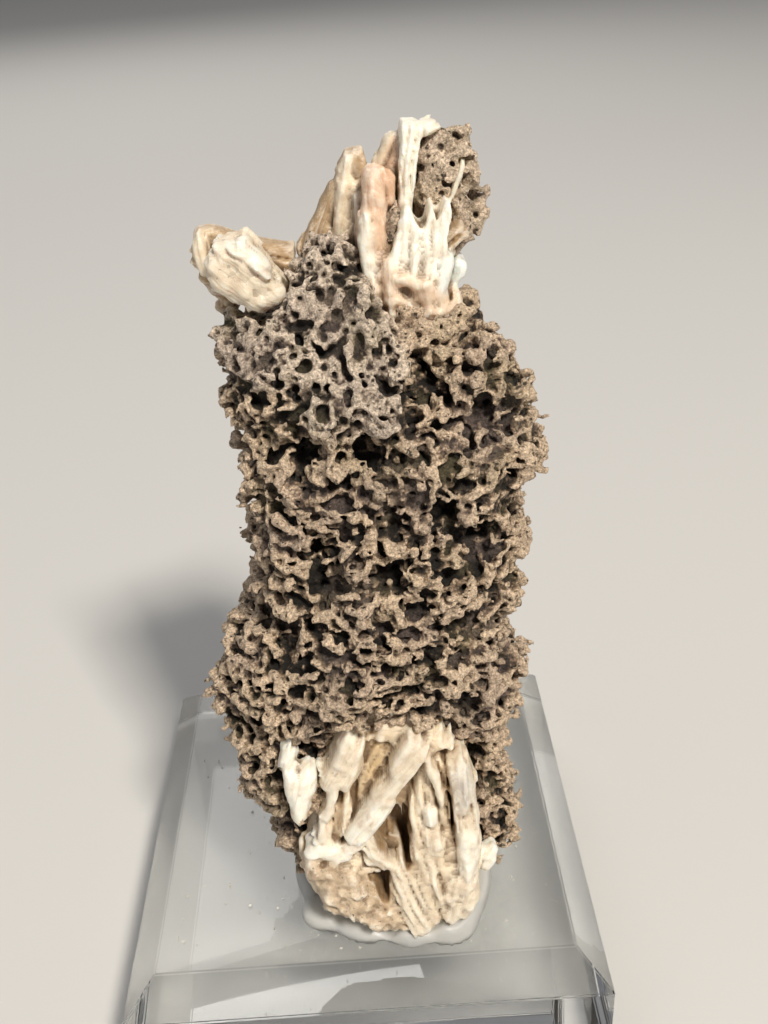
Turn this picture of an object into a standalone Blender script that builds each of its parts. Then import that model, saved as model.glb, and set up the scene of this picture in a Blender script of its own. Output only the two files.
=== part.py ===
"""A chlorargyrite mineral specimen standing on its clear display block.

The specimen is a spongy mass of chlorargyrite with pale crystals grown out of it: an upright fan and
a side cluster at the top, and a radiating cluster and one small crystal at its foot. It stands in a
pad of display wax near the front of the block, and leans back a little.

Run it with: blender --background --python part.py

The frame: origin at the middle of the block's underside, +Z up, +X to the right and +Y away from
the side that the specimen shows. The lists below are in millimetres, and heights in them count from
the block's top face.
"""

import math

import bmesh
import bpy
from mathutils import Matrix, Vector, noise

MM = 0.001
UP = Vector((0.0, 0.0, 1.0))
FRONT = Vector((0.0, -1.0, 0.0))

# Driving dimensions, in millimetres.
BLOCK_SIDE = 76.2
BLOCK_HEIGHT = 20.0
BLOCK_BEVEL = 5.2
BLOCK_EDGE = 0.6
WAX_HEIGHT = 3.8
WAX_LIFT = 0.3
GAP = 0.3

# The specimen's middle plane: its distance behind the block's middle, and how far it leans back.
PLANE_Y = -17.0
LEAN = 0.14

# The spongy mass: height, left and right edge, and its depth before and behind the middle plane.
SPONGE_STATIONS = (
    (4.7, -7.5, 21.0, 6.5, 8.0),
    (7.0, -11.5, 26.4, 9.0, 12.0),
    (13.0, -14.5, 27.2, 10.5, 14.0),
    (19.0, -17.0, 25.4, 11.5, 15.0),
    (26.0, -18.7, 25.0, 12.0, 16.0),
    (32.0, -19.7, 25.4, 12.5, 16.5),
    (37.0, -20.4, 28.0, 13.5, 17.0),
    (41.5, -20.6, 28.2, 15.0, 17.0),
    (46.0, -19.0, 24.4, 16.0, 17.0),
    (51.0, -15.6, 25.2, 16.5, 17.0),
    (56.5, -13.0, 26.4, 16.5, 17.0),
    (61.5, -12.6, 28.0, 16.5, 16.5),
    (67.5, -12.0, 28.0, 16.5, 16.5),
    (71.5, -13.2, 29.0, 16.5, 16.0),
    (76.5, -12.8, 29.6, 16.5, 16.0),
    (81.5, -12.6, 29.2, 16.0, 15.5),
    (85.5, -14.8, 27.8, 15.5, 15.0),
    (90.0, -15.3, 26.4, 15.0, 14.0),
    (93.5, -14.2, 23.2, 14.0, 12.5),
    (97.0, -11.8, 19.0, 12.5, 11.0),
    (100.0, -8.0, 15.5, 10.5, 9.0),
    (103.0, -4.5, 12.0, 8.0, 7.0),
    (105.2, -1.0, 9.0, 4.5, 4.0),
)
SPONGE_RINGS = 47
SPONGE_SIDES = 60
SPONGE_SQUARENESS = 2.35
SPONGE_FOOT_RISE = -0.25
SPONGE_TOP_RISE = 0.8

# The surface's own relief: broad swells, fine ones, and knobs of a size with crevices between them.
BROAD_RELIEF = 1.2
FINE_RELIEF = 1.0
KNOB_WIDTH = 6.2
KNOB_HEIGHT = 5.2
KNOB_RELIEF = 2.8
KNOB_MIDDLE = 0.55
CREVICE_DEPTH = 1.4
CREVICE_WIDTH = 0.18

# Lumps (positive) and hollows (negative) of the shown side: x, height, width, height of the relief.
RELIEF_FALLOFF = 1.4
FRONT_RELIEF = (
    (21.0, 89.0, 7.0, 2.6),
    (28.0, 79.0, 5.0, 2.0),
    (2.0, 86.0, 5.0, 1.6),
    (-9.0, 90.0, 6.0, 1.6),
    (14.0, 75.0, 3.2, 2.0),
    (3.0, 67.0, 3.2, 1.8),
    (13.0, 57.0, 3.2, 1.8),
    (0.0, 52.0, 6.0, 1.8),
    (13.0, 48.5, 4.0, 1.8),
    (22.0, 52.0, 4.5, 1.4),
    (-1.0, 44.5, 4.5, 1.6),
    (15.5, 71.5, 3.0, -4.0),
    (8.8, 72.5, 3.0, -3.2),
    (19.5, 67.5, 3.2, -3.4),
    (22.0, 82.5, 3.6, -4.2),
    (16.5, 84.0, 3.2, -3.0),
    (5.0, 82.5, 2.8, -2.8),
    (-1.5, 81.5, 3.4, -2.6),
    (7.0, 63.5, 3.0, -3.2),
    (-2.5, 68.0, 3.0, -2.4),
    (-2.0, 61.5, 2.8, -2.4),
    (17.5, 56.0, 3.0, -3.2),
    (11.0, 51.5, 2.8, -2.8),
    (17.0, 39.5, 3.0, -2.8),
    (-8.5, 53.5, 3.0, -2.4),
    (15.5, 91.0, 3.4, -3.0),
)

# Crystals of a cluster: root, tip (x, depth off the middle plane, height), breadth and thickness at
# the root and at the tip, and how far the broad side is turned from facing front, in degrees.
FAN_CRYSTALS = (
    ((13.6, -3.0, 90.5), (14.6, -3.6, 102.6), 9.0, 10.0, 8.6, 6.4, 0.0),
    ((10.2, 0.8, 95.0), (11.2, 1.4, 115.9), 6.0, 6.0, 3.8, 3.0, 10.0),
    ((13.8, -1.2, 94.2), (14.9, 0.2, 117.2), 5.0, 6.0, 5.4, 3.8, 3.0),
    ((3.8, 2.4, 96.5), (6.0, 3.2, 114.4), 11.0, 5.0, 3.8, 2.6, -10.0),
    ((1.6, 3.3, 95.6), (2.2, 3.8, 108.6), 7.0, 4.6, 3.6, 3.0, -16.0),
    ((0.1, 2.8, 97.2), (0.4, 2.9, 104.8), 5.0, 4.4, 3.4, 3.1, -21.0),
    ((7.2, 0.3, 97.8), (8.0, 1.2, 111.5), 5.4, 5.2, 4.0, 3.0, 8.0),
    ((10.4, -5.6, 92.7), (8.9, -4.7, 113.3), 5.6, 5.4, 4.0, 3.0, 6.0),
    ((15.6, -3.4, 96.2), (20.4, -3.2, 113.5), 3.0, 3.2, 1.4, 2.0, 20.0),
    ((14.2, -5.5, 98.6), (14.0, -5.2, 107.4), 3.4, 3.1, 1.2, 1.4, 2.0),
    ((16.5, -5.1, 97.4), (17.6, -5.0, 108.0), 3.0, 3.3, 1.0, 1.4, 12.0),
    ((17.3, -4.3, 93.1), (20.2, -3.6, 103.0), 4.6, 4.8, 3.2, 3.0, 24.0),
    ((18.0, -2.4, 91.6), (21.4, -1.2, 99.8), 4.4, 5.0, 2.6, 2.8, 34.0),
    ((15.0, -7.6, 99.3), (13.8, -13.4, 87.6), 6.4, 6.0, 3.0, 3.0, 1.0),
)
EAR_CRYSTALS = (
    ((-3.8, -0.2, 99.4), (-15.8, 2.4, 102.6), 6.6, 7.0, 7.4, 3.0, 0.0),
    ((-5.0, 0.2, 98.2), (-14.9, 2.1, 99.0), 8.0, 7.0, 6.4, 3.0, 6.0),
    ((-4.2, -6.0, 98.6), (-12.9, -5.8, 102.6), 6.6, 7.8, 6.0, 4.8, -6.0),
    ((-5.6, -5.8, 100.2), (-10.2, -5.6, 105.6), 6.6, 7.0, 4.6, 3.6, 8.0),
)
FOOT_CRYSTALS = (
    ((5.0, -6.0, 38.5), (5.2, -4.0, 1.6), 12.0, 9.0, 26.0, 17.0, 0.0),
    ((1.4, -11.6, 39.4), (-1.4, -12.6, 25.0), 5.4, 6.0, 5.0, 6.0, 14.0),
    ((11.0, -12.6, 38.0), (-2.8, -13.8, 19.0), 4.2, 4.2, 4.0, 4.0, -10.0),
    ((-2.4, -12.6, 31.0), (-5.8, -13.4, 16.0), 2.6, 3.4, 3.0, 4.0, 20.0),
    ((-5.8, -9.6, 21.0), (-4.8, -8.6, 1.8), 6.0, 8.0, 11.0, 10.0, 22.0),
    ((0.6, -11.4, 18.0), (2.4, -9.4, 1.8), 6.0, 6.0, 13.0, 11.0, 6.0),
    ((8.4, -13.0, 34.5), (10.6, -12.6, 3.0), 3.0, 4.0, 5.4, 5.6, -8.0),
    ((11.6, -13.2, 36.5), (13.8, -12.6, 3.6), 3.0, 4.0, 5.4, 5.6, -14.0),
    ((14.4, -12.4, 33.5), (17.4, -11.0, 6.0), 4.2, 5.0, 5.0, 6.6, -24.0),
    ((16.6, -8.4, 31.0), (18.6, -6.8, 4.0), 4.4, 6.0, 5.0, 9.0, -34.0),
    ((6.4, -12.6, 15.5), (8.8, -12.2, 2.2), 2.6, 3.4, 4.4, 4.6, 0.0),
)
FOOT_CAVES = (
    ((6.4, -15.0, 21.5), (2.2, 6.5, 5.2)),
    ((3.6, -15.6, 12.6), (2.4, 5.5, 3.2)),
)
SMALL_CRYSTALS = (
    ((-8.8, -12.4, 38.2), (-9.0, -12.8, 33.0), 3.4, 5.0, 3.4, 4.0, 0.0),
    ((-7.4, -12.6, 34.2), (-8.0, -13.4, 23.8), 6.0, 5.4, 2.4, 3.0, 10.0),
)

# A crystal's section, across its breadth and its thickness.
CRYSTAL_SECTION = ((-0.5, 0.0), (-0.32, 0.5), (0.30, 0.5), (0.5, 0.0), (0.32, -0.5), (-0.30, -0.5))

# A crystal's taper: the share of its length, and its section's scale there.
CRYSTAL_TAPER = ((0.0, 0.9), (0.12, 1.0), (0.86, 1.0), (1.0, 0.55))

# Spongy fillings between the fan's crystals: middle (x, depth, height) and half sizes. A filling
# widens upwards and leans to the right by these shares of its half width.
FAN_FILLINGS = {
    "fan_sponge": ((18.6, 0.4, 107.0), (4.0, 3.6, 9.6)),
    "fan_sponge_small": ((11.9, -4.2, 105.2), (1.6, 1.9, 3.4)),
}
FILLING_WIDENS = 0.25
FILLING_LEANS = 0.3
FILLING_ROUGHNESS = 0.3

# The wax pad's outline on the block's top, as x and y, front side first, and the steps that round
# each stretch of it.
WAX_STEPS = 3
WAX_OUTLINE = (
    (-11.4, -15.0), (-10.2, -20.0), (-6.4, -26.0), (-1.2, -29.4), (3.2, -30.8), (7.6, -32.2),
    (11.0, -31.2), (14.0, -31.4), (17.4, -29.4), (19.8, -24.2), (21.2, -18.0), (19.6, -9.5),
    (13.0, -5.0), (4.6, -4.2), (-4.0, -5.6), (-9.6, -9.4),
)

# The pad's side: height above the block, and how far it draws in there.
WAX_PROFILE = ((0.0, 0.0), (0.5, -0.25), (2.8, 0.15), (3.5, 0.55), (WAX_HEIGHT, 1.3))

# Each piece's colour, roughness and metallic value.
COLOURS = {
    "display_block": ((0.90, 0.92, 0.92, 1.0), 0.03, 0.0),
    "wax_pad": ((0.78, 0.76, 0.72, 1.0), 0.45, 0.0),
    "sponge_mass": ((0.30, 0.24, 0.18, 1.0), 0.85, 0.0),
    "fan_sponge": ((0.34, 0.27, 0.21, 1.0), 0.85, 0.0),
    "fan_sponge_small": ((0.30, 0.25, 0.20, 1.0), 0.85, 0.0),
    "fan_crystals": ((0.83, 0.72, 0.58, 1.0), 0.40, 0.0),
    "ear_crystals": ((0.82, 0.70, 0.55, 1.0), 0.42, 0.0),
    "foot_crystals": ((0.78, 0.67, 0.54, 1.0), 0.40, 0.0),
    "small_crystal": ((0.88, 0.80, 0.68, 1.0), 0.45, 0.0),
}


def clear_scene():
    """Removes whatever the opened file holds."""
    for obj in list(bpy.data.objects):
        bpy.data.objects.remove(obj)


def in_frame(x, depth, height):
    """A place given by x, depth off the specimen's middle plane and height, in metres."""
    y = PLANE_Y + LEAN * height + depth
    return Vector((x, y, height + BLOCK_HEIGHT)) * MM


def place(name, mesh):
    """Makes an object of a mesh or bmesh, with its own material where it has a colour."""
    if isinstance(mesh, bmesh.types.BMesh):
        data = bpy.data.meshes.new(name)
        bmesh.ops.triangulate(mesh, faces=mesh.faces)
        bmesh.ops.recalc_face_normals(mesh, faces=mesh.faces)
        mesh.to_mesh(data)
        mesh.free()
        mesh = data
    obj = bpy.data.objects.new(name, mesh)
    bpy.context.scene.collection.objects.link(obj)
    if name in COLOURS:
        colour, roughness, metallic = COLOURS[name]
        material = bpy.data.materials.new(name)
        material.use_nodes = True
        shader = material.node_tree.nodes["Principled BSDF"]
        shader.inputs["Base Color"].default_value = colour
        shader.inputs["Roughness"].default_value = roughness
        shader.inputs["Metallic"].default_value = metallic
        obj.data.materials.append(material)
    return obj


def boolean(target, other, operation):
    """Applies one exact Boolean to target and removes the other object."""
    modifier = target.modifiers.new(operation.lower(), "BOOLEAN")
    modifier.operation = operation
    modifier.solver = "EXACT"
    modifier.object = other
    graph = bpy.context.evaluated_depsgraph_get()
    result = bpy.data.meshes.new_from_object(target.evaluated_get(graph))
    target.modifiers.remove(modifier)
    target.data = result
    bpy.data.objects.remove(other)


def skin(mesh, rings):
    """Joins each ring of corners to the next with four-sided faces."""
    for lower, upper in zip(rings, rings[1:]):
        for j in range(len(lower)):
            k = (j + 1) % len(lower)
            mesh.faces.new((lower[j], lower[k], upper[k], upper[j]))


def drop_loose(obj):
    """Keeps an object's largest connected piece and removes slivers that a seat has cut loose."""
    mesh = bmesh.new()
    mesh.from_mesh(obj.data)
    pieces, seen = [], set()
    for start in mesh.verts:
        if start in seen:
            continue
        piece, waiting = set(), [start]
        while waiting:
            vertex = waiting.pop()
            if vertex in piece:
                continue
            piece.add(vertex)
            waiting.extend(edge.other_vert(vertex) for edge in vertex.link_edges)
        seen |= piece
        pieces.append(piece)
    for piece in sorted(pieces, key=len)[:-1]:
        bmesh.ops.delete(mesh, geom=list(piece), context="VERTS")
    mesh.to_mesh(obj.data)
    mesh.free()


def station_at(height):
    """The spongy mass's left, right, front and back at a height, eased between the stations."""
    for low, high in zip(SPONGE_STATIONS, SPONGE_STATIONS[1:]):
        if height <= high[0]:
            t = (height - low[0]) / (high[0] - low[0])
            t = t * t * (3 - 2 * t)
            return [a + (b - a) * t for a, b in zip(low[1:], high[1:])]
    return list(SPONGE_STATIONS[-1][1:])


def relief(x, depth, height, facing_front):
    """How far the spongy surface stands out of its plain form, in millimetres."""
    value = 0.0
    for at_x, at_height, width, rise in FRONT_RELIEF:
        away = ((x - at_x) ** 2 + (height - at_height) ** 2) / width**2
        value += facing_front * rise * math.exp(-RELIEF_FALLOFF * away)
    place_3d = Vector((x, depth, height))
    value += BROAD_RELIEF * noise.noise(place_3d / 9.0)
    value += FINE_RELIEF * noise.noise(place_3d / 4.6 + Vector((7.0, 3.0, 1.0)))
    cell = Vector((x / KNOB_WIDTH, depth / KNOB_WIDTH, height / KNOB_HEIGHT))
    nearest, second = noise.voronoi(cell)[0][:2]
    value += KNOB_RELIEF * (KNOB_MIDDLE - nearest)
    value -= CREVICE_DEPTH * max(0.0, 1.0 - (second - nearest) / CREVICE_WIDTH)
    return value


def sponge_mass():
    """The spongy mass: rings up its height, with lumps and hollows, closed at foot and top."""
    mesh = bmesh.new()
    foot, top = SPONGE_STATIONS[0][0], SPONGE_STATIONS[-1][0]
    rings = []
    for i in range(SPONGE_RINGS):
        height = foot + (top - foot) * i / (SPONGE_RINGS - 1)
        left, right, front, back = station_at(height)
        middle, half_width = (left + right) / 2, (right - left) / 2
        ring = []
        for j in range(SPONGE_SIDES):
            angle = 2 * math.pi * j / SPONGE_SIDES
            cos, sin = math.cos(angle), math.sin(angle)
            half_depth = front if sin < 0 else back
            power = SPONGE_SQUARENESS
            radius = (abs(cos / half_width) ** power + abs(sin / half_depth) ** power) ** (-1 / power)
            radius += relief(middle + radius * cos, radius * sin, height, max(0.0, -sin) ** 0.5)
            ring.append(mesh.verts.new(in_frame(middle + radius * cos, radius * sin, height)))
        rings.append(ring)
    skin(mesh, rings)
    for ring, rise in ((rings[0], SPONGE_FOOT_RISE), (rings[-1], SPONGE_TOP_RISE)):
        centre = sum((v.co for v in ring), Vector()) / len(ring) + UP * rise * MM
        tip = mesh.verts.new(centre)
        for j in range(SPONGE_SIDES):
            mesh.faces.new((ring[j], ring[(j + 1) % SPONGE_SIDES], tip))
    return place("sponge_mass", mesh)


def crystal(name, shape, grow=0.0):
    """One flat crystal from root to tip with a six-sided section and a bevelled end."""
    root, tip, root_breadth, root_thickness, tip_breadth, tip_thickness, turn = shape
    start, end = in_frame(*root), in_frame(*tip)
    along = (end - start).normalized()
    start, end = start - along * grow * MM, end + along * grow * MM
    across = Matrix.Rotation(math.radians(turn), 3, along) @ along.cross(FRONT).normalized()
    out = along.cross(across).normalized()
    mesh = bmesh.new()
    rings = []
    for share, scale in CRYSTAL_TAPER:
        breadth = (root_breadth + (tip_breadth - root_breadth) * share) * scale + 2 * grow
        thickness = (root_thickness + (tip_thickness - root_thickness) * share) * scale + 2 * grow
        middle = start.lerp(end, share)
        rings.append([
            mesh.verts.new(middle + (across * a * breadth + out * b * thickness) * MM)
            for a, b in CRYSTAL_SECTION
        ])
    skin(mesh, rings)
    mesh.faces.new(rings[0])
    mesh.faces.new(rings[-1])
    return place(name, mesh)


def cluster(name, shapes, grow=0.0):
    """Crystals grown together as one solid."""
    body = crystal(name, shapes[0], grow)
    for shape in shapes[1:]:
        boolean(body, crystal("grown", shape, grow), "UNION")
    return body


def cave(middle, half_sizes):
    """A smooth egg-shaped hollow, to cut out of the foot crystals."""
    mesh = bmesh.new()
    bmesh.ops.create_icosphere(mesh, subdivisions=2, radius=1.0)
    for vertex in mesh.verts:
        vertex.co = in_frame(*(m + h * c for m, h, c in zip(middle, half_sizes, vertex.co)))
    return place("cave", mesh)


def filling(name, middle, half_sizes):
    """A rough lump of sponge that widens upwards and leans to the right."""
    mesh = bmesh.new()
    bmesh.ops.create_icosphere(mesh, subdivisions=3, radius=1.0)
    for vertex in mesh.verts:
        across, deep, up = vertex.co * (1.0 + FILLING_ROUGHNESS * noise.noise(vertex.co * 2.6))
        across = across * (1.0 + FILLING_WIDENS * up) + FILLING_LEANS * up
        place_in_lump = zip(middle, half_sizes, (across, deep, up))
        vertex.co = in_frame(*(m + h * c for m, h, c in place_in_lump))
    return place(name, mesh)


def foot_cluster(grow=0.0):
    """The radiating crystals at the foot, with the two open caves between them."""
    body = cluster("foot_crystals", FOOT_CRYSTALS, grow)
    for middle, half_sizes in FOOT_CAVES:
        boolean(body, cave(middle, [size - grow for size in half_sizes]), "DIFFERENCE")
    return body


def wax_pad():
    """The pad of display wax: a wavy outline with a softly rounded upper edge."""
    mesh = bmesh.new()
    lift = BLOCK_HEIGHT + WAX_LIFT
    centre = sum((Vector((x, y, 0)) for x, y in WAX_OUTLINE), Vector()) / len(WAX_OUTLINE)
    points = smooth_loop([Vector((x, y, 0)) for x, y in WAX_OUTLINE], WAX_STEPS)
    rings = []
    for height, inset in WAX_PROFILE:
        ring = []
        for p in points:
            inward = (centre - p).normalized()
            ring.append(mesh.verts.new((p + inward * inset + UP * (lift + height)) * MM))
        rings.append(ring)
    skin(mesh, rings)
    mesh.faces.new(rings[0])
    mesh.faces.new(rings[-1])
    return place("wax_pad", mesh)


def smooth_loop(points, steps):
    """A closed Catmull-Rom curve through points, with a number of steps to each stretch."""
    made = []
    count = len(points)
    for i in range(count):
        a, b, c, d = (points[(i + k) % count] for k in (-1, 0, 1, 2))
        for s in range(steps):
            t = s / steps
            made.append(0.5 * (
                2 * b + (c - a) * t + (2 * a - 5 * b + 4 * c - d) * t * t
                + (3 * b - a - 3 * c + d) * t**3
            ))
    return made


def display_block():
    """The clear block: a square slab with a wide bevel round its top and a fine one below."""
    mesh = bmesh.new()
    bmesh.ops.create_cube(mesh, size=1.0)
    size = Vector((BLOCK_SIDE, BLOCK_SIDE, BLOCK_HEIGHT)) * MM
    for vertex in mesh.verts:
        vertex.co = Vector(c * s for c, s in zip(vertex.co, size)) + UP * size.z / 2
    top = [e for e in mesh.edges if all(v.co.z > size.z * 0.9 for v in e.verts)]
    bmesh.ops.bevel(mesh, geom=top, offset=BLOCK_BEVEL * MM, segments=1, affect="EDGES")
    under = [e for e in mesh.edges if all(v.co.z < size.z * 0.1 for v in e.verts)]
    bmesh.ops.bevel(mesh, geom=under, offset=BLOCK_EDGE * MM, segments=1, affect="EDGES")
    return place("display_block", mesh)


def main():
    """Builds every piece and cuts each one's seat in what holds it."""
    clear_scene()
    display_block()
    sponge = sponge_mass()
    for name, (middle, half_sizes) in FAN_FILLINGS.items():
        lump = filling(name, middle, half_sizes)
        boolean(lump, cluster("seat", FAN_CRYSTALS, GAP), "DIFFERENCE")
        drop_loose(lump)
        room = [size + 2 * GAP for size in half_sizes]
        boolean(sponge, filling("seat", middle, room), "DIFFERENCE")
    clusters = {
        "fan_crystals": FAN_CRYSTALS,
        "ear_crystals": EAR_CRYSTALS,
        "small_crystal": SMALL_CRYSTALS,
    }
    for name, shapes in clusters.items():
        cluster(name, shapes)
        boolean(sponge, cluster("seat", shapes, GAP), "DIFFERENCE")
    foot_cluster()
    boolean(sponge, foot_cluster(GAP), "DIFFERENCE")
    drop_loose(sponge)
    wax = wax_pad()
    boolean(wax, cluster("seat", FOOT_CRYSTALS, GAP), "DIFFERENCE")


main()
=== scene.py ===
"""The looks of a chlorargyrite specimen that stands on a clear display block.

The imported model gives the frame. The spongy mass and the pale crystals are sculpted here on fine
grids around its solids: a field of distances is built up from knobs, pits, caves and blades, and
the surface where it is zero becomes a closed mesh. Lengths are in millimetres unless a name ends
in _m, and heights of the specimen count from the block's top face.
"""

from __future__ import annotations

import logging
import math
from collections.abc import Callable
from dataclasses import dataclass
from enum import Enum
from typing import ClassVar

import bmesh
import bpy
import numpy as np
from mathutils import Matrix, Vector
from mathutils.bvhtree import BVHTree

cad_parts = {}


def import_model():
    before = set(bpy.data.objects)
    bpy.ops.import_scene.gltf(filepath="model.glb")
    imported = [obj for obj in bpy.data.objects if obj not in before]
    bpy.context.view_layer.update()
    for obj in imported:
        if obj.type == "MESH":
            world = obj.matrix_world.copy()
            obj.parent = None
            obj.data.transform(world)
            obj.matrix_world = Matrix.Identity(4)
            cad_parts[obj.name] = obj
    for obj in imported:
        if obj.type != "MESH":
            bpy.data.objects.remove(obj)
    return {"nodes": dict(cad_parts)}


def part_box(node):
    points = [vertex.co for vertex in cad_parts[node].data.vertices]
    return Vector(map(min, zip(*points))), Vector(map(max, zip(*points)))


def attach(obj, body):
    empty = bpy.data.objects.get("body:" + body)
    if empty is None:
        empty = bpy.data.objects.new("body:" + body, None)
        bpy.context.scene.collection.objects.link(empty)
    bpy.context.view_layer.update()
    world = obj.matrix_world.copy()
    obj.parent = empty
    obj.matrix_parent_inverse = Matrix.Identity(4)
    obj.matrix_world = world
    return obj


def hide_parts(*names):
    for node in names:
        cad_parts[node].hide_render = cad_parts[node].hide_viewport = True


log = logging.getLogger("specimen")

MM = 0.001

# The specimen's middle plane, as the solids have it: its place and its lean backward.
PLANE_Y = -17.0
LEAN = 0.14

# The value that mending gives to a point, in grid steps, and how often it goes round at most.
BARE = 0.3
MEND_ROUNDS = 12

Triple = tuple[float, float, float]
Pair = tuple[float, float]
Window = tuple[slice, slice, slice]
Array = np.ndarray
Piece = bpy.types.Object
Finish = bpy.types.Material
Socket = bpy.types.NodeSocket


class Coarseness(Enum):
    """How fine the grids are: the finished look, or a quick one while trying things."""

    FINE = 1.0
    QUICK = 1.7


def coarseness() -> float:
    """The factor on every grid's step."""
    return (Coarseness.FINE).value


# --- Grids and fields


@dataclass(frozen=True)
class Grid:
    """A box of evenly spaced points in the row frame."""

    low: Triple
    step: float
    shape: tuple[int, int, int]

    @classmethod
    def around(cls, low: Triple, high: Triple, step: float, margin: float) -> Grid:
        """A grid that holds a box with a margin round it.

        Args:
            low: the box's lowest corner.
            high: the box's highest corner.
            step: distance between neighbouring points.
            margin: room left round the box.

        Returns:
            The grid.
        """
        start = tuple(float(v) - margin for v in low)
        shape = tuple(int((h + margin - s) / step) + 2 for s, h in zip(start, high))
        return cls(start, step, shape)

    def axis(self, i: int) -> Array:
        """The places of the points along one axis."""
        return (self.low[i] + self.step * np.arange(self.shape[i])).astype(np.float32)

    def axes(self) -> tuple[Array, Array, Array]:
        """The three axes, shaped so that they broadcast over the grid."""
        x, y, z = (self.axis(i) for i in range(3))
        return x[:, None, None], y[None, :, None], z[None, None, :]

    def between(self, low: Triple, high: Triple) -> Window | None:
        """The part of the grid between two corners.

        Args:
            low: the lowest corner.
            high: the highest corner.

        Returns:
            One slice for each axis, or None where the part misses the grid.
        """
        parts = []
        for a, b, start, count in zip(low, high, self.low, self.shape):
            first = max(int((a - start) / self.step), 0)
            last = min(int((b - start) / self.step) + 2, count)
            if last <= first:
                return None
            parts.append(slice(first, last))
        return tuple(parts)

    def window(self, centre: Triple, reach: float) -> Window | None:
        """The part of the grid within reach of a point."""
        return self.between(tuple(c - reach for c in centre), tuple(c + reach for c in centre))

    def offsets(self, centre: Triple, window: Window) -> tuple[Array, Array, Array]:
        """How far a window's points lie from a point, along each axis.

        Args:
            centre: the point.
            window: the part of the grid.

        Returns:
            Three arrays that broadcast over the window.
        """
        made = []
        for i, (c, part) in enumerate(zip(centre, window)):
            line = self.low[i] + self.step * np.arange(part.start, part.stop) - c
            made.append(line.astype(np.float32))
        return made[0][:, None, None], made[1][None, :, None], made[2][None, None, :]


Taps = tuple[Array, Array]


def spline_taps(count: int, step: float, spacing: float) -> Taps:
    """How a coarse row of knots blends into a fine row of points.

    Args:
        count: the number of fine points.
        step: their spacing.
        spacing: the knots' spacing; the first knot lies one spacing before the first point.

    Returns:
        The first knot of each point, and the weights of four knots from there on.
    """
    u = np.arange(count) * step / spacing
    k = u.astype(int)
    f = (u - k).astype(np.float32)
    weights = ((1 - f) ** 3, 3 * f**3 - 6 * f**2 + 4, -3 * f**3 + 3 * f**2 + 3 * f + 1, f**3)
    return k, np.stack(weights) / 6


def blend_knots(knots: Array, taps: list[Taps]) -> Array:
    """Blends a box of knots along each axis in turn.

    Args:
        knots: the knots' values.
        taps: for each axis, the first knot of each point and the weights from there on.

    Returns:
        The values at the points.
    """
    for axis, (first, weights) in enumerate(taps):
        shape = [1, 1, 1]
        shape[axis] = -1
        taken = (np.take(knots, first + j, axis=axis) for j in range(len(weights)))
        knots = sum(part * w.reshape(shape) for part, w in zip(taken, weights))
    return knots.astype(np.float32)


def swell(grid: Grid, spacing: Triple, seed: int) -> Array:
    """Smooth random swells over a grid, with unit spread.

    Args:
        grid: the grid.
        spacing: the swells' size along each axis.
        seed: the random seed.

    Returns:
        One value for each grid point.
    """
    taps = [spline_taps(n, grid.step, s) for n, s in zip(grid.shape, spacing)]
    rng = np.random.default_rng(seed)
    knots = rng.standard_normal([k[-1] + 4 for k, _ in taps]).astype(np.float32)
    made = blend_knots(knots, taps)
    return made / made.std()


def blur(values: Array, reach: int) -> Array:
    """Averages a field over a box of reach points each way.

    Args:
        values: the field.
        reach: how many points each way are averaged.

    Returns:
        The averaged field.
    """
    for axis in range(3):
        padding = [(0, 0)] * 3
        padding[axis] = (reach + 1, reach)
        total = np.cumsum(np.pad(values, padding, mode="edge"), axis=axis, dtype=np.float64)
        width = 2 * reach + 1
        upper = np.take(total, range(width, total.shape[axis]), axis=axis)
        lower = np.take(total, range(0, total.shape[axis] - width), axis=axis)
        values = ((upper - lower) / width).astype(np.float32)
    return values


def resample(values: Array, grid: Grid, target: Grid) -> Array:
    """Reads a field at the points of another grid.

    Args:
        values: the field.
        grid: its grid.
        target: the other grid, inside the first.

    Returns:
        The field on the other grid.
    """
    taps = []
    for i in range(3):
        u = np.clip((target.axis(i) - grid.low[i]) / grid.step, 0, grid.shape[i] - 1.001)
        k = u.astype(int)
        f = (u - k).astype(np.float32)
        taps.append((k, np.stack((1 - f, f))))
    return blend_knots(values, taps)


def melt(a: Array, b: Array, reach: float) -> Array:
    """The union of two fields with a soft fillet of the given reach."""
    h = np.maximum(reach - np.abs(a - b), 0.0) / reach
    return np.minimum(a, b) - h * h * reach * 0.25


def box_mm(node: str) -> tuple[Triple, Triple]:
    """The lowest and the highest corner of a CAD node, in millimetres."""
    return tuple(tuple(c / MM for c in corner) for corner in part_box(node))


def block_top() -> float:
    """The height of the block's top face."""
    return box_mm("display_block")[1][2]


def held_in(values: Array, grid: Grid, box: tuple[Triple, Triple], spare: Pair = (0.0, 0.0)) -> Array:
    """Cuts a field off at the walls of a box.

    Args:
        values: the field.
        grid: its grid.
        box: the lowest and the highest corner.
        spare: how far the field may go past the lower and the upper walls.

    Returns:
        The field, above zero outside the box.
    """
    below, above = spare
    for line, low, high in zip(grid.axes(), *box):
        values = np.maximum(values, np.maximum(low - below - line, line - high - above))
    return values


def sheltered(values: Array, step: float, near: int = 3, wide: int = 6) -> Array:
    """How much of a point's surroundings is solid: half on a flat face, more in a crevice.

    Args:
        values: the field.
        step: the grid's step.
        near: the smaller reach that is averaged, in points.
        wide: the larger one.

    Returns:
        A share from zero to one for each point.
    """
    solid = np.clip(0.5 - values / step, 0.0, 1.0)
    return 0.5 * (blur(solid, near) + blur(blur(solid, wide), near))


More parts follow.
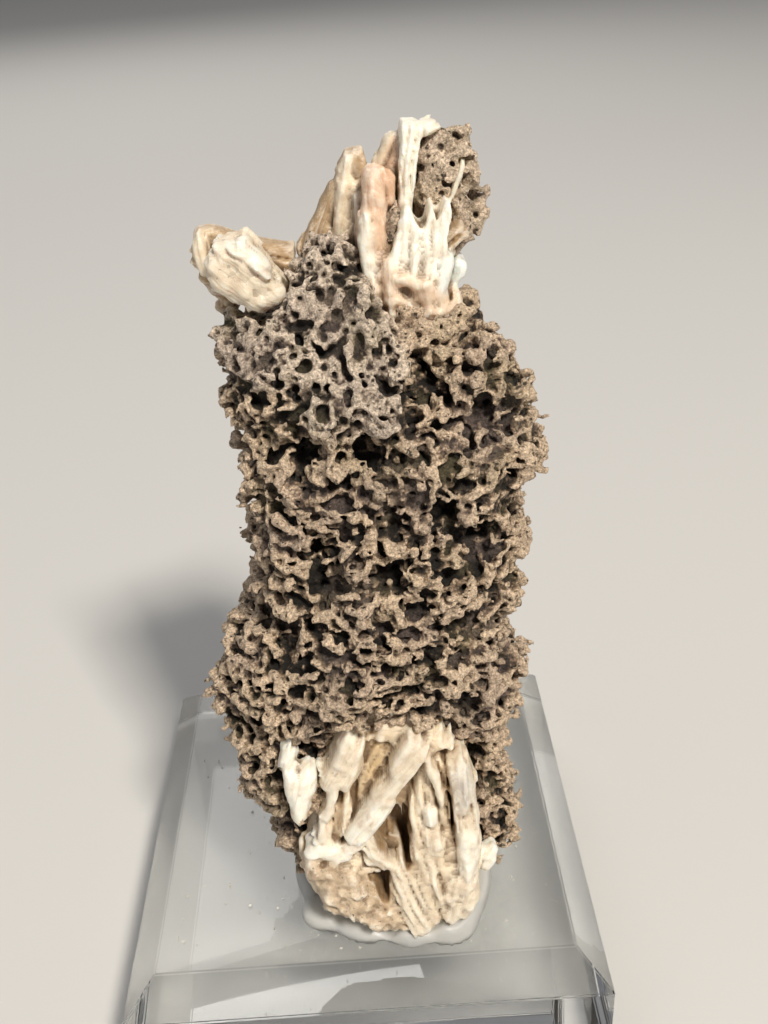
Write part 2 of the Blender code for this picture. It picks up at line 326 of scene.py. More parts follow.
def solid_distance(node: str, grid: Grid, spacing: float) -> Array:
    """The signed distance from a CAD solid, softened to the spacing of the knots that carry it.

    Args:
        node: the CAD node's name.
        grid: the grid to fill.
        spacing: the knots' spacing.

    Returns:
        Distances at the grid's points, below zero inside.
    """
    mesh = bpy.data.objects[node].data
    corners = [v.co / MM for v in mesh.vertices]
    tree = BVHTree.FromPolygons(corners, [p.vertices[:] for p in mesh.polygons])
    taps = [spline_taps(n, grid.step, spacing) for n in grid.shape]
    counts = [k[-1] + 4 for k, _ in taps]
    start = [low - spacing for low in grid.low]
    knots = np.zeros(counts, np.float32)
    for j in range(counts[1]):
        for k in range(counts[2]):
            y, z = start[1] + j * spacing, start[2] + k * spacing
            crossings = _crossings(tree, start[0] - 1.0, y, z)
            for i in range(counts[0]):
                x = start[0] + i * spacing
                distance = tree.find_nearest((x, y, z))[3]
                inside = sum(c < x for c in crossings) % 2
                knots[i, j, k] = -distance if inside else distance
    return blend_knots(knots, taps)


def _crossings(tree: BVHTree, x: float, y: float, z: float) -> list[float]:
    """Where a line along +X from (x, y, z) passes through a mesh.

    Args:
        tree: the mesh.
        x: where the line starts.
        y: its place along Y.
        z: its place along Z.

    Returns:
        The places along X, in order.
    """
    found = []
    nudge = 1e-3
    while True:
        hit = tree.ray_cast(Vector((x, y + nudge, z + nudge)), Vector((1, 0, 0)))[0]
        if hit is None:
            return found
        found.append(hit.x)
        x = hit.x + nudge


# --- From a field to a closed mesh

CORNERS = np.array([(a, b, c) for a in (0, 1) for b in (0, 1) for c in (0, 1)])
EDGES = [(i, j) for i in range(8) for j in range(i + 1, 8) if abs(CORNERS[i] - CORNERS[j]).sum() == 1]


def keep_attached(values: Array, core: Array, bare: float) -> Array:
    """Drops crumbs that hang in the air and fills hollows that nothing opens.

    Args:
        values: the field.
        core: points known to be part of the piece.
        bare: the size of the value that a changed point gets.

    Returns:
        The mended field.
    """
    solid = values < 0
    solid = _flood(core & solid, solid)
    edge = np.zeros_like(solid)
    for axis in range(3):
        edge[(slice(None),) * axis + (0,)] = True
        edge[(slice(None),) * axis + (-1,)] = True
    air = _flood(edge & ~solid, ~solid)
    made = np.where((values < 0) & ~solid, bare, values)
    return np.where((made >= 0) & ~air & ~((values < 0) & ~solid), -bare, made).astype(np.float32)


def _flood(seeds: Array, room: Array) -> Array:
    """Every point of room that a path through room joins to a seed.

    Args:
        seeds: where the flood starts.
        room: the points that it may reach.

    Returns:
        The points that it reaches.
    """
    filled = seeds.copy()
    size = 0
    while True:
        for axis in range(3):
            count = filled.shape[axis]
            lead = (slice(None),) * axis
            for order in (range(1, count), range(count - 2, -1, -1)):
                back = -1 if order.step > 0 else 1
                for i in order:
                    here, before = lead + (i,), lead + (i + back,)
                    filled[here] |= filled[before] & room[here]
        now = int(filled.sum())
        if now == size:
            return filled
        size = now


def settle(values: Array, bare: float) -> Array:
    """Fills points that meet only at an edge or a corner, so that the surface is one clean skin.

    Args:
        values: the field.
        bare: the size of the value that a filled point gets.

    Returns:
        The mended field.
    """
    solid = values < 0
    before = solid.copy()
    pairs = ((0, 1), (0, 2), (1, 2))
    for _ in range(MEND_ROUNDS):
        changed = False
        for a, b in pairs:
            changed |= _fill_diagonal(solid, a, b)
        changed |= _fill_corner(solid)
        if not changed:
            break
    return np.where(solid & ~before, -bare, values).astype(np.float32)


def _part(axis_a: int, axis_b: int, a: int, b: int) -> tuple[slice, ...]:
    """The grid without its last row along two axes, moved by a and b along them.

    Args:
        axis_a: the first axis.
        axis_b: the second axis.
        a: 0 or 1 along the first.
        b: 0 or 1 along the second.

    Returns:
        One slice for each axis.
    """
    cut = [slice(None)] * 3
    cut[axis_a] = slice(a, None if a else -1)
    cut[axis_b] = slice(b, None if b else -1)
    return tuple(cut)


def _fill_diagonal(solid: Array, axis_a: int, axis_b: int) -> bool:
    """Fills one of two open points where solid ones touch across a square's diagonal.

    Args:
        solid: the solid points, which are changed.
        axis_a: the square's first axis.
        axis_b: its second axis.

    Returns:
        True where a point was filled.
    """
    p, q, r, s = (_part(axis_a, axis_b, a, b) for a, b in ((0, 0), (1, 1), (0, 1), (1, 0)))
    first = solid[p] & solid[q] & ~solid[r] & ~solid[s]
    solid[r] |= first
    second = solid[r] & solid[s] & ~solid[p] & ~solid[q]
    solid[p] |= second
    return bool(first.any() or second.any())


def _fill_corner(solid: Array) -> bool:
    """Fills a neighbour where two solid points touch only across a cube's diagonal.

    Args:
        solid: the solid points, which are changed.

    Returns:
        True where a point was filled.
    """
    views = {tuple(c): solid[tuple(slice(v, None if v else -1) for v in c)] for c in CORNERS}
    changed = False
    total = sum(view.astype(np.int8) for view in views.values())
    for c in ((0, 0, 0), (0, 0, 1), (0, 1, 0), (0, 1, 1)):
        far = tuple(1 - v for v in c)
        near = (1 - c[0], c[1], c[2])
        lone = (total == 2) & views[c] & views[far]
        pierced = (total == 6) & ~views[c] & ~views[far]
        changed |= bool(lone.any() or pierced.any())
        views[near] |= lone
        views[c] |= pierced
    return changed


@dataclass
class Skin:
    """The surface of a field: its corners in millimetres, its four-sided faces and its cells."""

    # How far a corner stays off the ends of a grid edge, as a share of it.
    KEPT_OFF: ClassVar[float] = 0.04

    points: Array
    faces: Array
    cells: Array

    @classmethod
    def of(cls, values: Array, grid: Grid) -> Skin:
        """Finds the surface where a field is zero, with one corner in each cell that it crosses.

        Args:
            values: the field, above zero all round its edge.
            grid: its grid.

        Returns:
            The surface.
        """
        inside = values < 0
        parts = [inside[tuple(slice(v, None if v else -1) for v in c)] for c in CORNERS]
        count = sum(p.astype(np.int8) for p in parts)
        active = (count > 0) & (count < 8)
        number = np.full(active.shape, -1, np.int32)
        number[active] = np.arange(int(active.sum()), dtype=np.int32)
        cells = np.argwhere(active)
        found = np.stack([values[tuple((cells + c).T)] for c in CORNERS], axis=1)
        place = np.zeros((len(cells), 3))
        hits = np.zeros(len(cells))
        for i, j in EDGES:
            a, b = found[:, i], found[:, j]
            crossed = (a < 0) != (b < 0)
            share = np.where(crossed, a / np.where(crossed, a - b, 1.0), 0.0)
            share = np.clip(share, cls.KEPT_OFF, 1.0 - cls.KEPT_OFF)
            spot = CORNERS[i] + share[:, None] * (CORNERS[j] - CORNERS[i])
            place += np.where(crossed[:, None], spot, 0.0)
            hits += crossed
        place = cells + place / hits[:, None]
        points = np.array(grid.low) + grid.step * place
        faces = np.concatenate([cls._faces(inside, number, axis) for axis in range(3)])
        return cls(points, faces, cells)

    @staticmethod
    def _faces(inside: Array, number: Array, axis: int) -> Array:
        """The faces that cross the grid's edges along one axis.

        Args:
            inside: which grid points are inside.
            number: the corner in each cell.
            axis: the axis of the edges.

        Returns:
            Four corners for each face, turned outward.
        """
        b, c = (axis + 1) % 3, (axis + 2) % 3
        lower, upper = [slice(1, -1)] * 3, [slice(1, -1)] * 3
        lower[axis], upper[axis] = slice(0, -1), slice(1, None)
        low, high = inside[tuple(lower)], inside[tuple(upper)]
        at = np.argwhere(low != high)
        outward = low[tuple(at.T)]
        at[:, b] += 1
        at[:, c] += 1
        ring = []
        for db, dc in ((-1, -1), (0, -1), (0, 0), (-1, 0)):
            cell = at.copy()
            cell[:, b] += db
            cell[:, c] += dc
            ring.append(number[tuple(cell.T)])
        faces = np.stack(ring, axis=1)
        faces[~outward] = faces[~outward][:, ::-1]
        return faces

    def relaxed(self, rounds: int) -> Skin:
        """Evens the surface out by moving each corner part of the way to its neighbours' middle.

        Args:
            rounds: how many times.

        Returns:
            The evened surface.
        """
        points = self.points
        for _ in range(rounds):
            total, hits = np.zeros_like(points), np.zeros(len(points))
            for k in range(4):
                here, after = self.faces[:, k], self.faces[:, (k + 1) % 4]
                for a, b in ((here, after), (after, here)):
                    for i in range(3):
                        total[:, i] += np.bincount(a, points[b, i], len(points))
                    hits += np.bincount(a, minlength=len(points))
            points = points + 0.5 * (total / hits[:, None] - points)
        return Skin(points, self.faces, self.cells)

    def sample(self, values: Array) -> Array:
        """A field's mean over the cell of each corner."""
        return np.mean([values[tuple((self.cells + c).T)] for c in CORNERS], axis=0)

    def build(
        self, name: str, marks: dict[str, Array], smooth: bool = True, share: float = 1.0
    ) -> Piece:
        """Makes a mesh object of the surface.

        Args:
            name: the piece's name.
            marks: values for each corner, kept as named attributes for the material.
            smooth: False keeps the facets sharp.
            share: how much of the faces to keep; flat stretches lose theirs first.

        Returns:
            The object, riding on the root body.
        """
        mesh = bpy.data.meshes.new(name)
        mesh.vertices.add(len(self.points))
        mesh.vertices.foreach_set("co", (self.points * MM).astype(np.float32).ravel())
        mesh.loops.add(self.faces.size)
        mesh.loops.foreach_set("vertex_index", self.faces.astype(np.int32).ravel())
        mesh.polygons.add(len(self.faces))
        starts = np.arange(0, self.faces.size, 4, dtype=np.int32)
        mesh.polygons.foreach_set("loop_start", starts)
        mesh.update(calc_edges=True)
        mesh.validate()
        if smooth:
            mesh.shade_smooth()
        for mark, values in marks.items():
            if values.ndim == 1:
                layer = mesh.attributes.new(mark, "FLOAT", "POINT")
                layer.data.foreach_set("value", values.astype(np.float32))
            else:
                layer = mesh.attributes.new(mark, "FLOAT_COLOR", "POINT")
                full = np.ones((len(values), 4), np.float32)
                full[:, :3] = values
                layer.data.foreach_set("color", full.ravel())
        piece = bpy.data.objects.new(name, mesh)
        return adopt(thinned(piece, share) if share < 1.0 else piece)


def thinned(piece: Piece, share: float) -> Piece:
    """Joins faces of a piece where it is flattest.

    Args:
        piece: a piece that is in no collection yet.
        share: how much of the faces to keep.

    Returns:
        The piece, with its new mesh.
    """
    bpy.context.scene.collection.objects.link(piece)
    thinner = piece.modifiers.new("thinner", "DECIMATE")
    thinner.ratio = share
    whole = piece.data
    found = piece.evaluated_get(bpy.context.evaluated_depsgraph_get())
    piece.data = bpy.data.meshes.new_from_object(found)
    piece.modifiers.clear()
    bpy.data.meshes.remove(whole)
    bpy.context.scene.collection.objects.unlink(piece)
    return piece


def adopt(piece: Piece) -> Piece:
    """Links a piece to the scene and lets it ride on the root body.

    Args:
        piece: the piece.

    Returns:
        The same piece.
    """
    bpy.context.scene.collection.objects.link(piece)
    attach(piece, "root")
    count = len(piece.data.polygons)
    log.info("%s: %d faces", piece.name, count)
    return piece


def specimen_point(x: float, depth: float, height: float) -> Triple:
    """A place given by x, depth off the specimen's middle plane and height over the block.

    Args:
        x: to the right.
        depth: behind the middle plane, below zero before it.
        height: over the block's top face.

    Returns:
        The place in the row frame, in millimetres.
    """
    return x, PLANE_Y + LEAN * height + depth, height + block_top()


# --- Finishes


class Nodes:
    """A material's node tree with short calls to add to it."""

    def __init__(self, name: str) -> None:
        """Starts a material with a Principled shader and nothing else.

        Args:
            name: the material's name.
        """
        self.material = bpy.data.materials.new(name)
        self.material.use_nodes = True
        self.tree = self.material.node_tree
        self.shader = self.tree.nodes["Principled BSDF"]

    def add(self, kind: str, **settings: object) -> bpy.types.Node:
        """Adds a node of a kind and sets its properties.

        Args:
            kind: the node's type.
            settings: its properties.

        Returns:
            The node.
        """
        node = self.tree.nodes.new(kind)
        for key, value in settings.items():
            setattr(node, key, value)
        return node

    def link(self, source: Socket, target: Socket) -> None:
        """Joins two sockets."""
        self.tree.links.new(source, target)

    def mark(self, name: str, output: str = "Fac") -> Socket:
        """An attribute of the mesh."""
        return self.add("ShaderNodeAttribute", attribute_name=name).outputs[output]

    def place(self) -> Socket:
        """The place on the object, in metres."""
        return self.add("ShaderNodeTexCoord").outputs["Object"]

    def noise(
        self, scale: float, detail: float = 2.0, rough: float = 0.5, vector: Socket | None = None
    ) -> Socket:
        """A noise texture's value.

        Args:
            scale: its scale, in cells per metre unless a vector is given.
            detail: its detail.
            rough: its roughness.
            vector: the place to read it at, the object's own place if left out.

        Returns:
            The value socket.
        """
        node = self.add("ShaderNodeTexNoise")
        node.inputs["Scale"].default_value = scale
        node.inputs["Detail"].default_value = detail
        node.inputs["Roughness"].default_value = rough
        self.link(vector or self.place(), node.inputs["Vector"])
        return node.outputs["Fac"]

    def ramp(self, value: Socket, stops: list[tuple[float, float | Triple]]) -> Socket:
        """A colour ramp over a value.

        Args:
            value: the value.
            stops: pairs of a place and a colour or grey level.

        Returns:
            The colour socket.
        """
        node = self.add("ShaderNodeValToRGB")
        elements = node.color_ramp.elements
        while len(elements) < len(stops):
            elements.new(0.5)
        for element, (at, colour) in zip(elements, stops):
            element.position = at
            rgb = (colour,) * 3 if isinstance(colour, float) else colour
            element.color = (*rgb, 1.0)
        self.link(value, node.inputs["Fac"])
        return node.outputs["Color"]

    def mix(
        self,
        share: Socket | float,
        first: Socket | Triple,
        second: Socket | Triple,
        how: str = "MIX",
    ) -> Socket:
        """Mixes two colours.

        Args:
            share: how much of the second one.
            first: a colour or a socket.
            second: a colour or a socket.
            how: the blend's kind.

        Returns:
            The colour socket.
        """
        node = self.add("ShaderNodeMix", data_type="RGBA", blend_type=how)
        sockets = (node.inputs[0], node.inputs[6], node.inputs[7])
        for socket, value in zip(sockets, (share, first, second)):
            if isinstance(value, Socket):
                self.link(value, socket)
            elif isinstance(value, float):
                socket.default_value = value
            else:
                socket.default_value = (*value, 1.0)
        return node.outputs[2]

    def maths(self, how: str, *values: Socket | float) -> Socket:
        """A sum, product or the like of values and sockets.

        Args:
            how: the operation.
            values: numbers and sockets, in order.

        Returns:
            The result's socket.
        """
        node = self.add("ShaderNodeMath", operation=how)
        for socket, value in zip(node.inputs, values):
            if isinstance(value, Socket):
                self.link(value, socket)
            else:
                socket.default_value = value
        return node.outputs[0]

    def bump(self, height: Socket, distance_m: float) -> None:
        """Adds relief to the shader's normal, over what is there already.

        Args:
            height: the relief.
            distance_m: its depth.
        """
        node = self.add("ShaderNodeBump")
        node.inputs["Strength"].default_value = 1.0
        node.inputs["Distance"].default_value = distance_m
        self.link(height, node.inputs["Height"])
        normal = self.shader.inputs["Normal"]
        if normal.links:
            self.link(normal.links[0].from_socket, node.inputs["Normal"])
        self.link(node.outputs["Normal"], normal)

    def set(self, **values: float | Triple) -> None:
        """Sets the shader's own sockets; an underscore in a name stands for a space."""
        for key, value in values.items():
            self.shader.inputs[key.replace("_", " ")].default_value = value


@dataclass(frozen=True)
class SpongeFinish:
    """Dull grey-brown mineral sponge with painted light and shade: a painted highlight on its tips, painted
    shade in its hollows and pores, and painted glints beside the glitter of its roughness.
    """

    # Lit and shaded copies of one sponge colour: painted highlight on exposed tips, the plain face, painted
    # shade in hollows and near-black painted shade in pits.
    painted_lit_tip: Triple = (0.62, 0.475, 0.335)
    face: Triple = (0.295, 0.206, 0.134)
    hollow: Triple = (0.075, 0.052, 0.034)
    painted_pit_shade: Triple = (0.011, 0.008, 0.005)
    painted_lit_foam_tip: Triple = (0.63, 0.52, 0.41)
    foam_face: Triple = (0.31, 0.246, 0.186)
    olive: Triple = (0.235, 0.195, 0.095)
    mauve: Triple = (0.275, 0.205, 0.180)
    painted_glint: Triple = (0.84, 0.76, 0.64)
    painted_shade_offset: float = -0.088
    grit: float = 0.22

    def make(self) -> Finish:
        """Builds the material.

        Returns:
            The material, which reads the marks shelter, depth and foam; shelter and depth set its painted
            light and shade.
        """
        n = Nodes("chlorargyrite_sponge")
        grit = n.maths("SUBTRACT", n.noise(1500.0, 3.0, 0.7), 0.5)
        # Painted shade: darker where a point is sheltered and where it lies deeper under the plain form,
        # lighter on exposed tips.
        sunk = n.maths("MAXIMUM", n.maths("MULTIPLY", n.mark("depth"), -1.0), 0.3)
        painted_shade = n.maths("ADD", n.mark("shelter"), n.maths("MULTIPLY", grit, self.grit))
        painted_shade = n.maths("ADD", n.maths("ADD", painted_shade, self.painted_shade_offset), n.maths("MULTIPLY", sunk, 0.15))
        painted_hollow_stop = (0.585, self.hollow)
        body = n.ramp(painted_shade, [(0.37, self.painted_lit_tip), (0.47, self.face), painted_hollow_stop, (0.70, self.painted_pit_shade)])
        grey = n.ramp(painted_shade, [(0.37, self.painted_lit_foam_tip), (0.47, self.foam_face), painted_hollow_stop, (0.68, self.painted_pit_shade)])
        body = n.mix(n.mark("foam"), body, grey)
        patches = n.ramp(n.noise(170.0, 3.0, 0.6), [(0.50, 0.0), (0.66, 0.6)])
        body = n.mix(patches, body, n.mix(0.45, body, self.olive))
        blush = n.ramp(n.noise(120.0, 2.0, 0.5), [(0.48, 0.0), (0.62, 0.7)])
        body = n.mix(blush, body, n.mix(0.45, body, self.mauve))
        # Painted shade: each small pore is darkened nearly to black; the same mask also sinks it by bump.
        pores = self._pores(n)
        body = n.mix(pores, body, n.mix(0.80, body, self.painted_pit_shade))
        speckle = n.ramp(n.noise(2600.0, 3.0, 0.7), [(0.34, 0.46), (0.50, 1.0), (0.66, 1.7)])
        body = n.mix(0.9, body, speckle, "MULTIPLY")
        # Painted glints: sparse pale specks, only where the painted shade is light.
        painted_glints = n.ramp(n.noise(3300.0, 1.0, 0.5), [(0.685, 0.0), (0.73, 0.75)])
        painted_glints = n.maths("MULTIPLY", painted_glints, n.ramp(painted_shade, [(0.42, 1.0), (0.55, 0.0)]))
        body = n.mix(painted_glints, body, self.painted_glint)
        n.link(body, n.shader.inputs["Base Color"])
        glitter = n.ramp(n.noise(5200.0, 0.0, 0.5), [(0.66, 0.85), (0.72, 0.25)])
        n.link(glitter, n.shader.inputs["Roughness"])
        n.set(Specular_IOR_Level=0.5)
        n.bump(n.noise(1250.0, 4.0, 0.72), 0.00070)
        n.bump(n.maths("SUBTRACT", 1.0, pores), 0.00030)
        n.bump(n.noise(3600.0, 2.0, 0.65), 0.00024)
        return n.material

    def _pores(self, n: Nodes) -> Socket:
        """Small pores of uneven size and shape, darkened by painted shade in the finish: one inside each and
        zero between them.

        Args:
            n: the material's nodes.

        Returns:
            The value socket.
        """
        ragged = n.ramp(n.noise(1050.0, 3.0, 0.65), [(0.325, 1.0), (0.385, 0.0)])
        cells = n.add("ShaderNodeTexVoronoi")
        cells.inputs["Scale"].default_value = 760.0
        cells.inputs["Randomness"].default_value = 1.0
        n.link(n.place(), cells.inputs["Vector"])
        size = n.add("ShaderNodeSeparateColor")
        n.link(cells.outputs["Color"], size.inputs[0])
        edge = n.maths("ADD", cells.outputs["Distance"], n.maths("MULTIPLY", n.noise(2400.0), 0.16))
        within = n.maths("SUBTRACT", n.maths("MULTIPLY", size.outputs[0], 0.36), edge)
        inside = n.maths("SMOOTH_MIN", 1.0, n.maths("MULTIPLY", within, 14.0), 0.2)
        return n.maths("MAXIMUM", n.maths("MAXIMUM", inside, 0.0), ragged)


@dataclass(frozen=True)
class CrystalFinish:
    """Cream to white bladed crystals: waxy, streaked along each blade, with painted brown shade in their
    crevices and a painted highlight on their exposed edges.
    """

    # The dark brown serves both the painted crevice shade and the real stains; the frost both the pale
    # streaks and the painted edge highlight.
    stain_and_painted_shade: Triple = (0.20, 0.125, 0.065)
    shade: Triple = (0.50, 0.37, 0.245)
    frost_and_painted_highlight: Triple = (0.93, 0.89, 0.80)
    speck: Triple = (0.07, 0.05, 0.035)

    def make(self) -> Finish:
        """Builds the material.

        Returns:
            The material, which reads the marks tone, shelter, across, along, fleck and pure.
        """
        n = Nodes("barite_blades")
        tone = n.mark("tone", "Color")
        fibre = n.add("ShaderNodeCombineXYZ")
        n.link(n.maths("MULTIPLY", n.mark("across"), 1.5), fibre.inputs[0])
        n.link(n.maths("MULTIPLY", n.mark("along"), 0.10), fibre.inputs[1])
        streak = n.noise(1.0, 3.0, 0.6, fibre.outputs[0])
        swing = n.maths("MULTIPLY", n.maths("SUBTRACT", streak, 0.5), n.mark("pure"))
        streak = n.maths("ADD", 0.5, swing)
        colour = n.mix(n.ramp(streak, [(0.52, 0.0), (0.72, 0.42)]), tone, self.shade)
        colour = n.mix(n.ramp(streak, [(0.30, 0.55), (0.46, 0.0)]), colour, self.frost_and_painted_highlight)
        blotch = n.ramp(n.noise(330.0, 3.0, 0.6), [(0.48, 0.0), (0.68, 0.50)])
        colour = n.mix(blotch, colour, self.shade)
        # Painted shade in sheltered crevices and a painted highlight on exposed edges, both from the shelter
        # mark.
        uneven = n.maths("MULTIPLY", n.maths("SUBTRACT", n.noise(900.0, 3.0), 0.5), 0.22)
        painted_shading = n.maths("ADD", n.mark("shelter"), uneven)
        colour = n.mix(n.ramp(painted_shading, [(0.50, 0.0), (0.60, 0.45), (0.72, 0.95)]), colour, self.stain_and_painted_shade)
        colour = n.mix(n.ramp(painted_shading, [(0.30, 0.35), (0.42, 0.0)]), colour, self.frost_and_painted_highlight)
        stained = n.maths("MAXIMUM", n.maths("SUBTRACT", n.mark("fleck"), 0.45), 0.0)
        stained = n.maths("MULTIPLY", stained, 1.5)
        stains = n.ramp(n.noise(360.0, 4.0, 0.7), [(0.50, 0.0), (0.60, 0.85)])
        colour = n.mix(n.maths("MULTIPLY", stains, stained), colour, n.mix(0.35, self.stain_and_painted_shade, self.shade))
        flecks = n.ramp(n.noise(1300.0, 2.0, 0.7), [(0.655, 0.0), (0.70, 0.9)])
        colour = n.mix(n.maths("MULTIPLY", flecks, n.mark("fleck")), colour, self.speck)
        n.link(colour, n.shader.inputs["Base Color"])
        gloss = n.ramp(n.noise(1200.0, 2.0, 0.6), [(0.35, 0.62), (0.65, 0.34)])
        n.link(gloss, n.shader.inputs["Roughness"])
        n.set(Subsurface_Weight=0.45, Subsurface_Radius=(1.0, 0.72, 0.48), Subsurface_Scale=0.0020)
        n.set(Specular_IOR_Level=0.5)
        n.bump(streak, 0.00022)
        n.bump(n.noise(900.0, 4.0, 0.65), 0.00014)
        n.bump(n.noise(2400.0, 2.0, 0.6), 0.00008)
        return n.material


@dataclass(frozen=True)
class WaxFinish:
    """Whitish display wax: milky, soft and slightly see-through at its rim."""

    body: Triple = (0.62, 0.62, 0.60)
    bloom: Triple = (0.74, 0.73, 0.69)

    def make(self) -> Finish:
        """Builds the material.

        Returns:
            The material.
        """
        n = Nodes("display_wax")
        tint = n.mix(n.ramp(n.noise(160.0, 2.0), [(0.35, 0.0), (0.7, 1.0)]), self.body, self.bloom)
        n.link(tint, n.shader.inputs["Base Color"])
        n.set(Roughness=0.34, Subsurface_Weight=0.6, Subsurface_Radius=(1.0, 0.95, 0.85))
        n.set(Subsurface_Scale=0.0025, Transmission_Weight=0.28, IOR=1.44)
        n.bump(n.noise(700.0, 2.0, 0.5), 0.00012)
        return n.material


@dataclass(frozen=True)
class AcrylicFinish:
    """Clear polished acrylic with a trace of haze."""

    ior: float = 1.49
    tint: Triple = (0.97, 0.985, 0.985)

    def make(self) -> Finish:
        """Builds the material.

        Returns:
            The material.
        """
        n = Nodes("clear_acrylic")
        wipe = n.ramp(n.noise(60.0, 4.0, 0.65), [(0.40, 0.0), (0.75, 0.035)])
        n.link(wipe, n.shader.inputs["Roughness"])
        n.set(Base_Color=(*self.tint, 1.0), Transmission_Weight=1.0, IOR=self.ior)
        return n.material


@dataclass(frozen=True)
class DustFinish:
    """Grains and lint that have dropped on the block."""

    grain: Triple = (0.62, 0.58, 0.50)
    lint: Triple = (0.82, 0.80, 0.75)

    def make(self) -> Finish:
        """Builds the material.

        Returns:
            The material.
        """
        n = Nodes("dust")
        n.link(n.mix(n.noise(900.0), self.grain, self.lint), n.shader.inputs["Base Color"])
        n.set(Roughness=0.8)
        return n.material


# --- The spongy mass


class Zone(Enum):
    """The habits of the sponge from place to place."""

    FOAM = "round pits close together"
    LEDGES = "curled shelves with caves under them"
    LUMPS = "swollen ledges with few pits"
    FLANK = "small pits"
    BACK = "knobs and pits"


@dataclass(frozen=True)
class Habit:
    """How one zone of the sponge is grown.

    The rooms are the least distances between knobs and between pits, and the shares say how
    many of the knobs have a cup, a cave under them or a curled wall. The lift raises the knobs.
    """

    knob_room: float
    knob_radius: Pair
    flatness: float
    cup_share: float
    cave_share: float
    curl_share: float
    pit_room: float
    pit_radius: Pair
    lift: float = 0.0


HABITS = {
    Zone.FOAM: Habit(2.3, (0.8, 1.3), 1.0, 0.0, 0.0, 0.0, 1.22, (0.36, 0.62), -0.75),
    Zone.LEDGES: Habit(1.6, (0.9, 1.7), 1.45, 0.20, 0.38, 0.26, 1.12, (0.24, 0.43)),
    Zone.LUMPS: Habit(1.7, (1.0, 1.9), 1.4, 0.12, 0.26, 0.12, 1.2, (0.24, 0.43)),
    Zone.FLANK: Habit(1.6, (0.9, 1.5), 1.2, 0.18, 0.22, 0.10, 1.1, (0.25, 0.45)),
    Zone.BACK: Habit(1.8, (1.15, 2.1), 1.35, 0.16, 0.34, 0.10, 1.5, (0.40, 0.66)),
}

# A growth point: its place, the outward direction there, its habit and the relief.
Seed = tuple[Array, Array, Habit, float]


